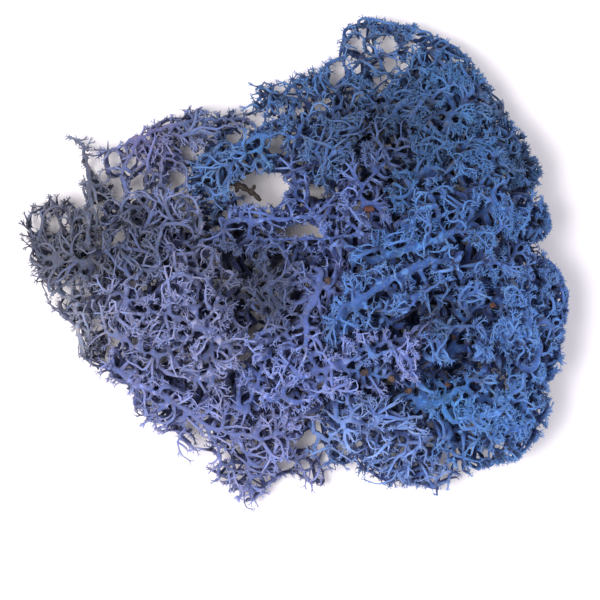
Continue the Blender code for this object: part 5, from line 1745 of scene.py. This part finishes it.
def dye_and_shade_group():
    """Group for dyed lichen: mottled colour with paler tips, partly a painted highlight, painted shade in
    patches and deeper in the clump, roughness and felt height.
    """
    felt = Effect("dyed_felt_and_shade", "Body Color", "Tip Color")
    mapped, mixed, noise = felt.mapped, felt.mixed, felt.noise
    # Paler towards the ends of the twigs: partly the tips' own paler colour, partly a painted highlight.
    tip = mapped(felt.attribute("tip"), 0.05, 0.95, 0.0, 1.0)
    colour = mixed(tip, felt.colours["Body Color"], felt.colours["Tip Color"])
    # Soft patches of dye; the darkest of them are painted shade.
    for x, y, radius, shade, strength in DYE_AND_SHADE_PATCHES:
        colour = mixed(felt.patch(x, y, radius, strength), colour, (*shade, 1.0))
    mottle = mapped(noise(210.0, 3.0, 0.6), 0.3, 0.7, 0.0, 1.0)
    colour = mixed(mottle, mixed(0.32, colour, (0.02, 0.03, 0.07, 1.0)), colour)
    violet = mixed(0.22, colour, (0.1, 0.13, 0.42, 1.0))
    colour = mixed(mapped(felt.attribute("tone"), 0.55, 1.0, 0.0, 0.8), colour, violet)
    grain = mapped(noise(2300.0, 4.0, 0.7), 0.5, 0.75, 0.0, 0.8)
    colour = mixed(grain, colour, mixed(0.3, colour, (0.33, 0.4, 0.62, 1.0)))
    for scale, tint in ((1000.0, (1.42, 1.12, 0.72, 1.0)), (1350.0, (0.6, 1.0, 1.22, 1.0))):
        share = mapped(noise(scale, 3.0, 0.7), 0.5, 0.66, 0.0, 0.7)
        colour = mixed(share, colour, mixed(1.0, colour, tint, "MULTIPLY"))
    # Painted shade: the deeper a corner lies in the clump, the more its colour is darkened towards a dull
    # violet.
    shade = mixed(1.0, colour, (0.2, 0.21, 0.32, 1.0), "MULTIPLY")
    colour = mixed(mapped(felt.attribute("deep"), 0.1, 0.62, 0.0, 1.0), colour, shade)
    roughness = mapped(noise(900.0, 2.0, 0.5), 0.3, 0.7, 0.78, 0.97)
    return felt.finished(colour, roughness, noise(3200.0, 5.0, 0.65))


def plant_material(name, group, colours, relief, surface):
    """Matt plant matter: the group takes the two colours and gives colour, roughness and relief."""
    material = bpy.data.materials.new(name)
    material.use_nodes = True
    tree = material.node_tree
    effect = new_node(tree, "ShaderNodeGroup", {}, node_tree=group)
    for socket, colour in zip(effect.inputs, colours):
        socket.default_value = (*colour, 1.0)
    height = effect.outputs["Height"]
    bump = new_node(tree, "ShaderNodeBump", {"Height": height, "Strength": relief, "Distance": 0.00012})
    wire(tree, tree.nodes["Principled BSDF"], {
        "Base Color": effect.outputs["Color"], "Roughness": effect.outputs["Roughness"],
        "Normal": bump.outputs["Normal"], **surface,
    })
    return material


def dye_and_shade_material(name, group, colours):
    """Matt dyed lichen for one stalk, with its painted shade."""
    surface = {"Specular IOR Level": 0.22, "Sheen Weight": 0.12, "Sheen Roughness": 0.6}
    return plant_material(name, group, colours, 0.55, surface)


def dry_material(name, group, colours):
    """Dull dry plant matter."""
    return plant_material(name, group, colours, 0.6, {"Specular IOR Level": 0.25})


def finish(item, name, material):
    """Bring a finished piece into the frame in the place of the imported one."""
    item.data.transform(Matrix.Scale(MM, 4) @ Matrix.Translation((-MIDDLE[0], -MIDDLE[1], 0)))
    item.data.polygons.foreach_set("use_smooth", np.ones(len(item.data.polygons), bool))
    item.data.materials.clear()
    item.data.materials.append(material)
    item.name = name + "_fine"
    item.data.name = item.name
    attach(item, "root")
    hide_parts(name)


def white_floor():
    """Plain white surface that the clump lies on."""
    bpy.ops.mesh.primitive_plane_add(size=4.0, location=(0, 0, 0))
    floor = bpy.context.object
    floor.name = "floor"
    material = bpy.data.materials.new("white_surface")
    material.use_nodes = True
    wire(material.node_tree, material.node_tree.nodes["Principled BSDF"], {
        "Base Color": (0.88, 0.832, 0.862, 1.0), "Roughness": 0.7, "Specular IOR Level": 0.2,
    })
    floor.data.materials.append(material)
    floor.select_set(False)


def area_light(name, place, size, power, colour):
    """Soft square lamp turned towards the clump."""
    lamp = bpy.data.lights.new(name, "AREA")
    lamp.size = size
    lamp.energy = power
    lamp.color = colour
    item = bpy.data.objects.new(name, lamp)
    item.location = place
    item.rotation_euler = (-Vector(place)).to_track_quat("-Z", "Y").to_euler()
    bpy.context.scene.collection.objects.link(item)


def studio():
    """Camera straight above, a soft lamp on the left and pale light all round."""
    scene = bpy.context.scene
    lens = bpy.data.cameras.new("camera")
    lens.sensor_width = 36.0
    lens.lens = lens.sensor_width * (CAMERA[2] - 0.012) / VIEW_WIDTH
    lens.clip_start = 0.01
    camera = bpy.data.objects.new("camera", lens)
    camera.location = CAMERA
    scene.collection.objects.link(camera)
    scene.camera = camera
    area_light("key", (-0.33, -0.06, 0.86), 0.4, 9.4, (1.0, 0.985, 0.98))
    area_light("fill", (0.6, 0.1, 0.6), 0.8, 3.6, (0.97, 0.97, 1.0))
    world = bpy.data.worlds.new("pale_room")
    world.use_nodes = True
    wire(world.node_tree, world.node_tree.nodes["Background"],
         {"Color": (0.93, 0.95, 1.0, 1.0), "Strength": 0.64})
    scene.world = world
    scene.view_settings.view_transform = "Standard"


def main():
    """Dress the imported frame."""
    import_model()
    bpy.ops.object.select_all(action="DESELECT")
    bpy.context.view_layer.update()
    studio()
    white_floor()
    fields = clump_fields()
    group = dye_and_shade_group()
    for stalk in grown_stalks(fields, scrap_places()):
        name = stalk["name"]
        body = mesh_stalk(stalk, fields)
        finish(body, name, dye_and_shade_material(name + "_dye_and_shade", group, STALKS[name][3:]))
    group = blotch_group()
    for index, (_, _, _, _, *colours) in enumerate(SCRAPS):
        name = f"scrap_{index + 1}"
        finish(dry_flake(name, 30 + index), name, dry_material(name + "_dry", group, colours))
    finish(dead_twig_body(), "dead_twig",
           dry_material("dead_bark", group, ((0.035, 0.026, 0.023), (0.008, 0.006, 0.006))))


main()
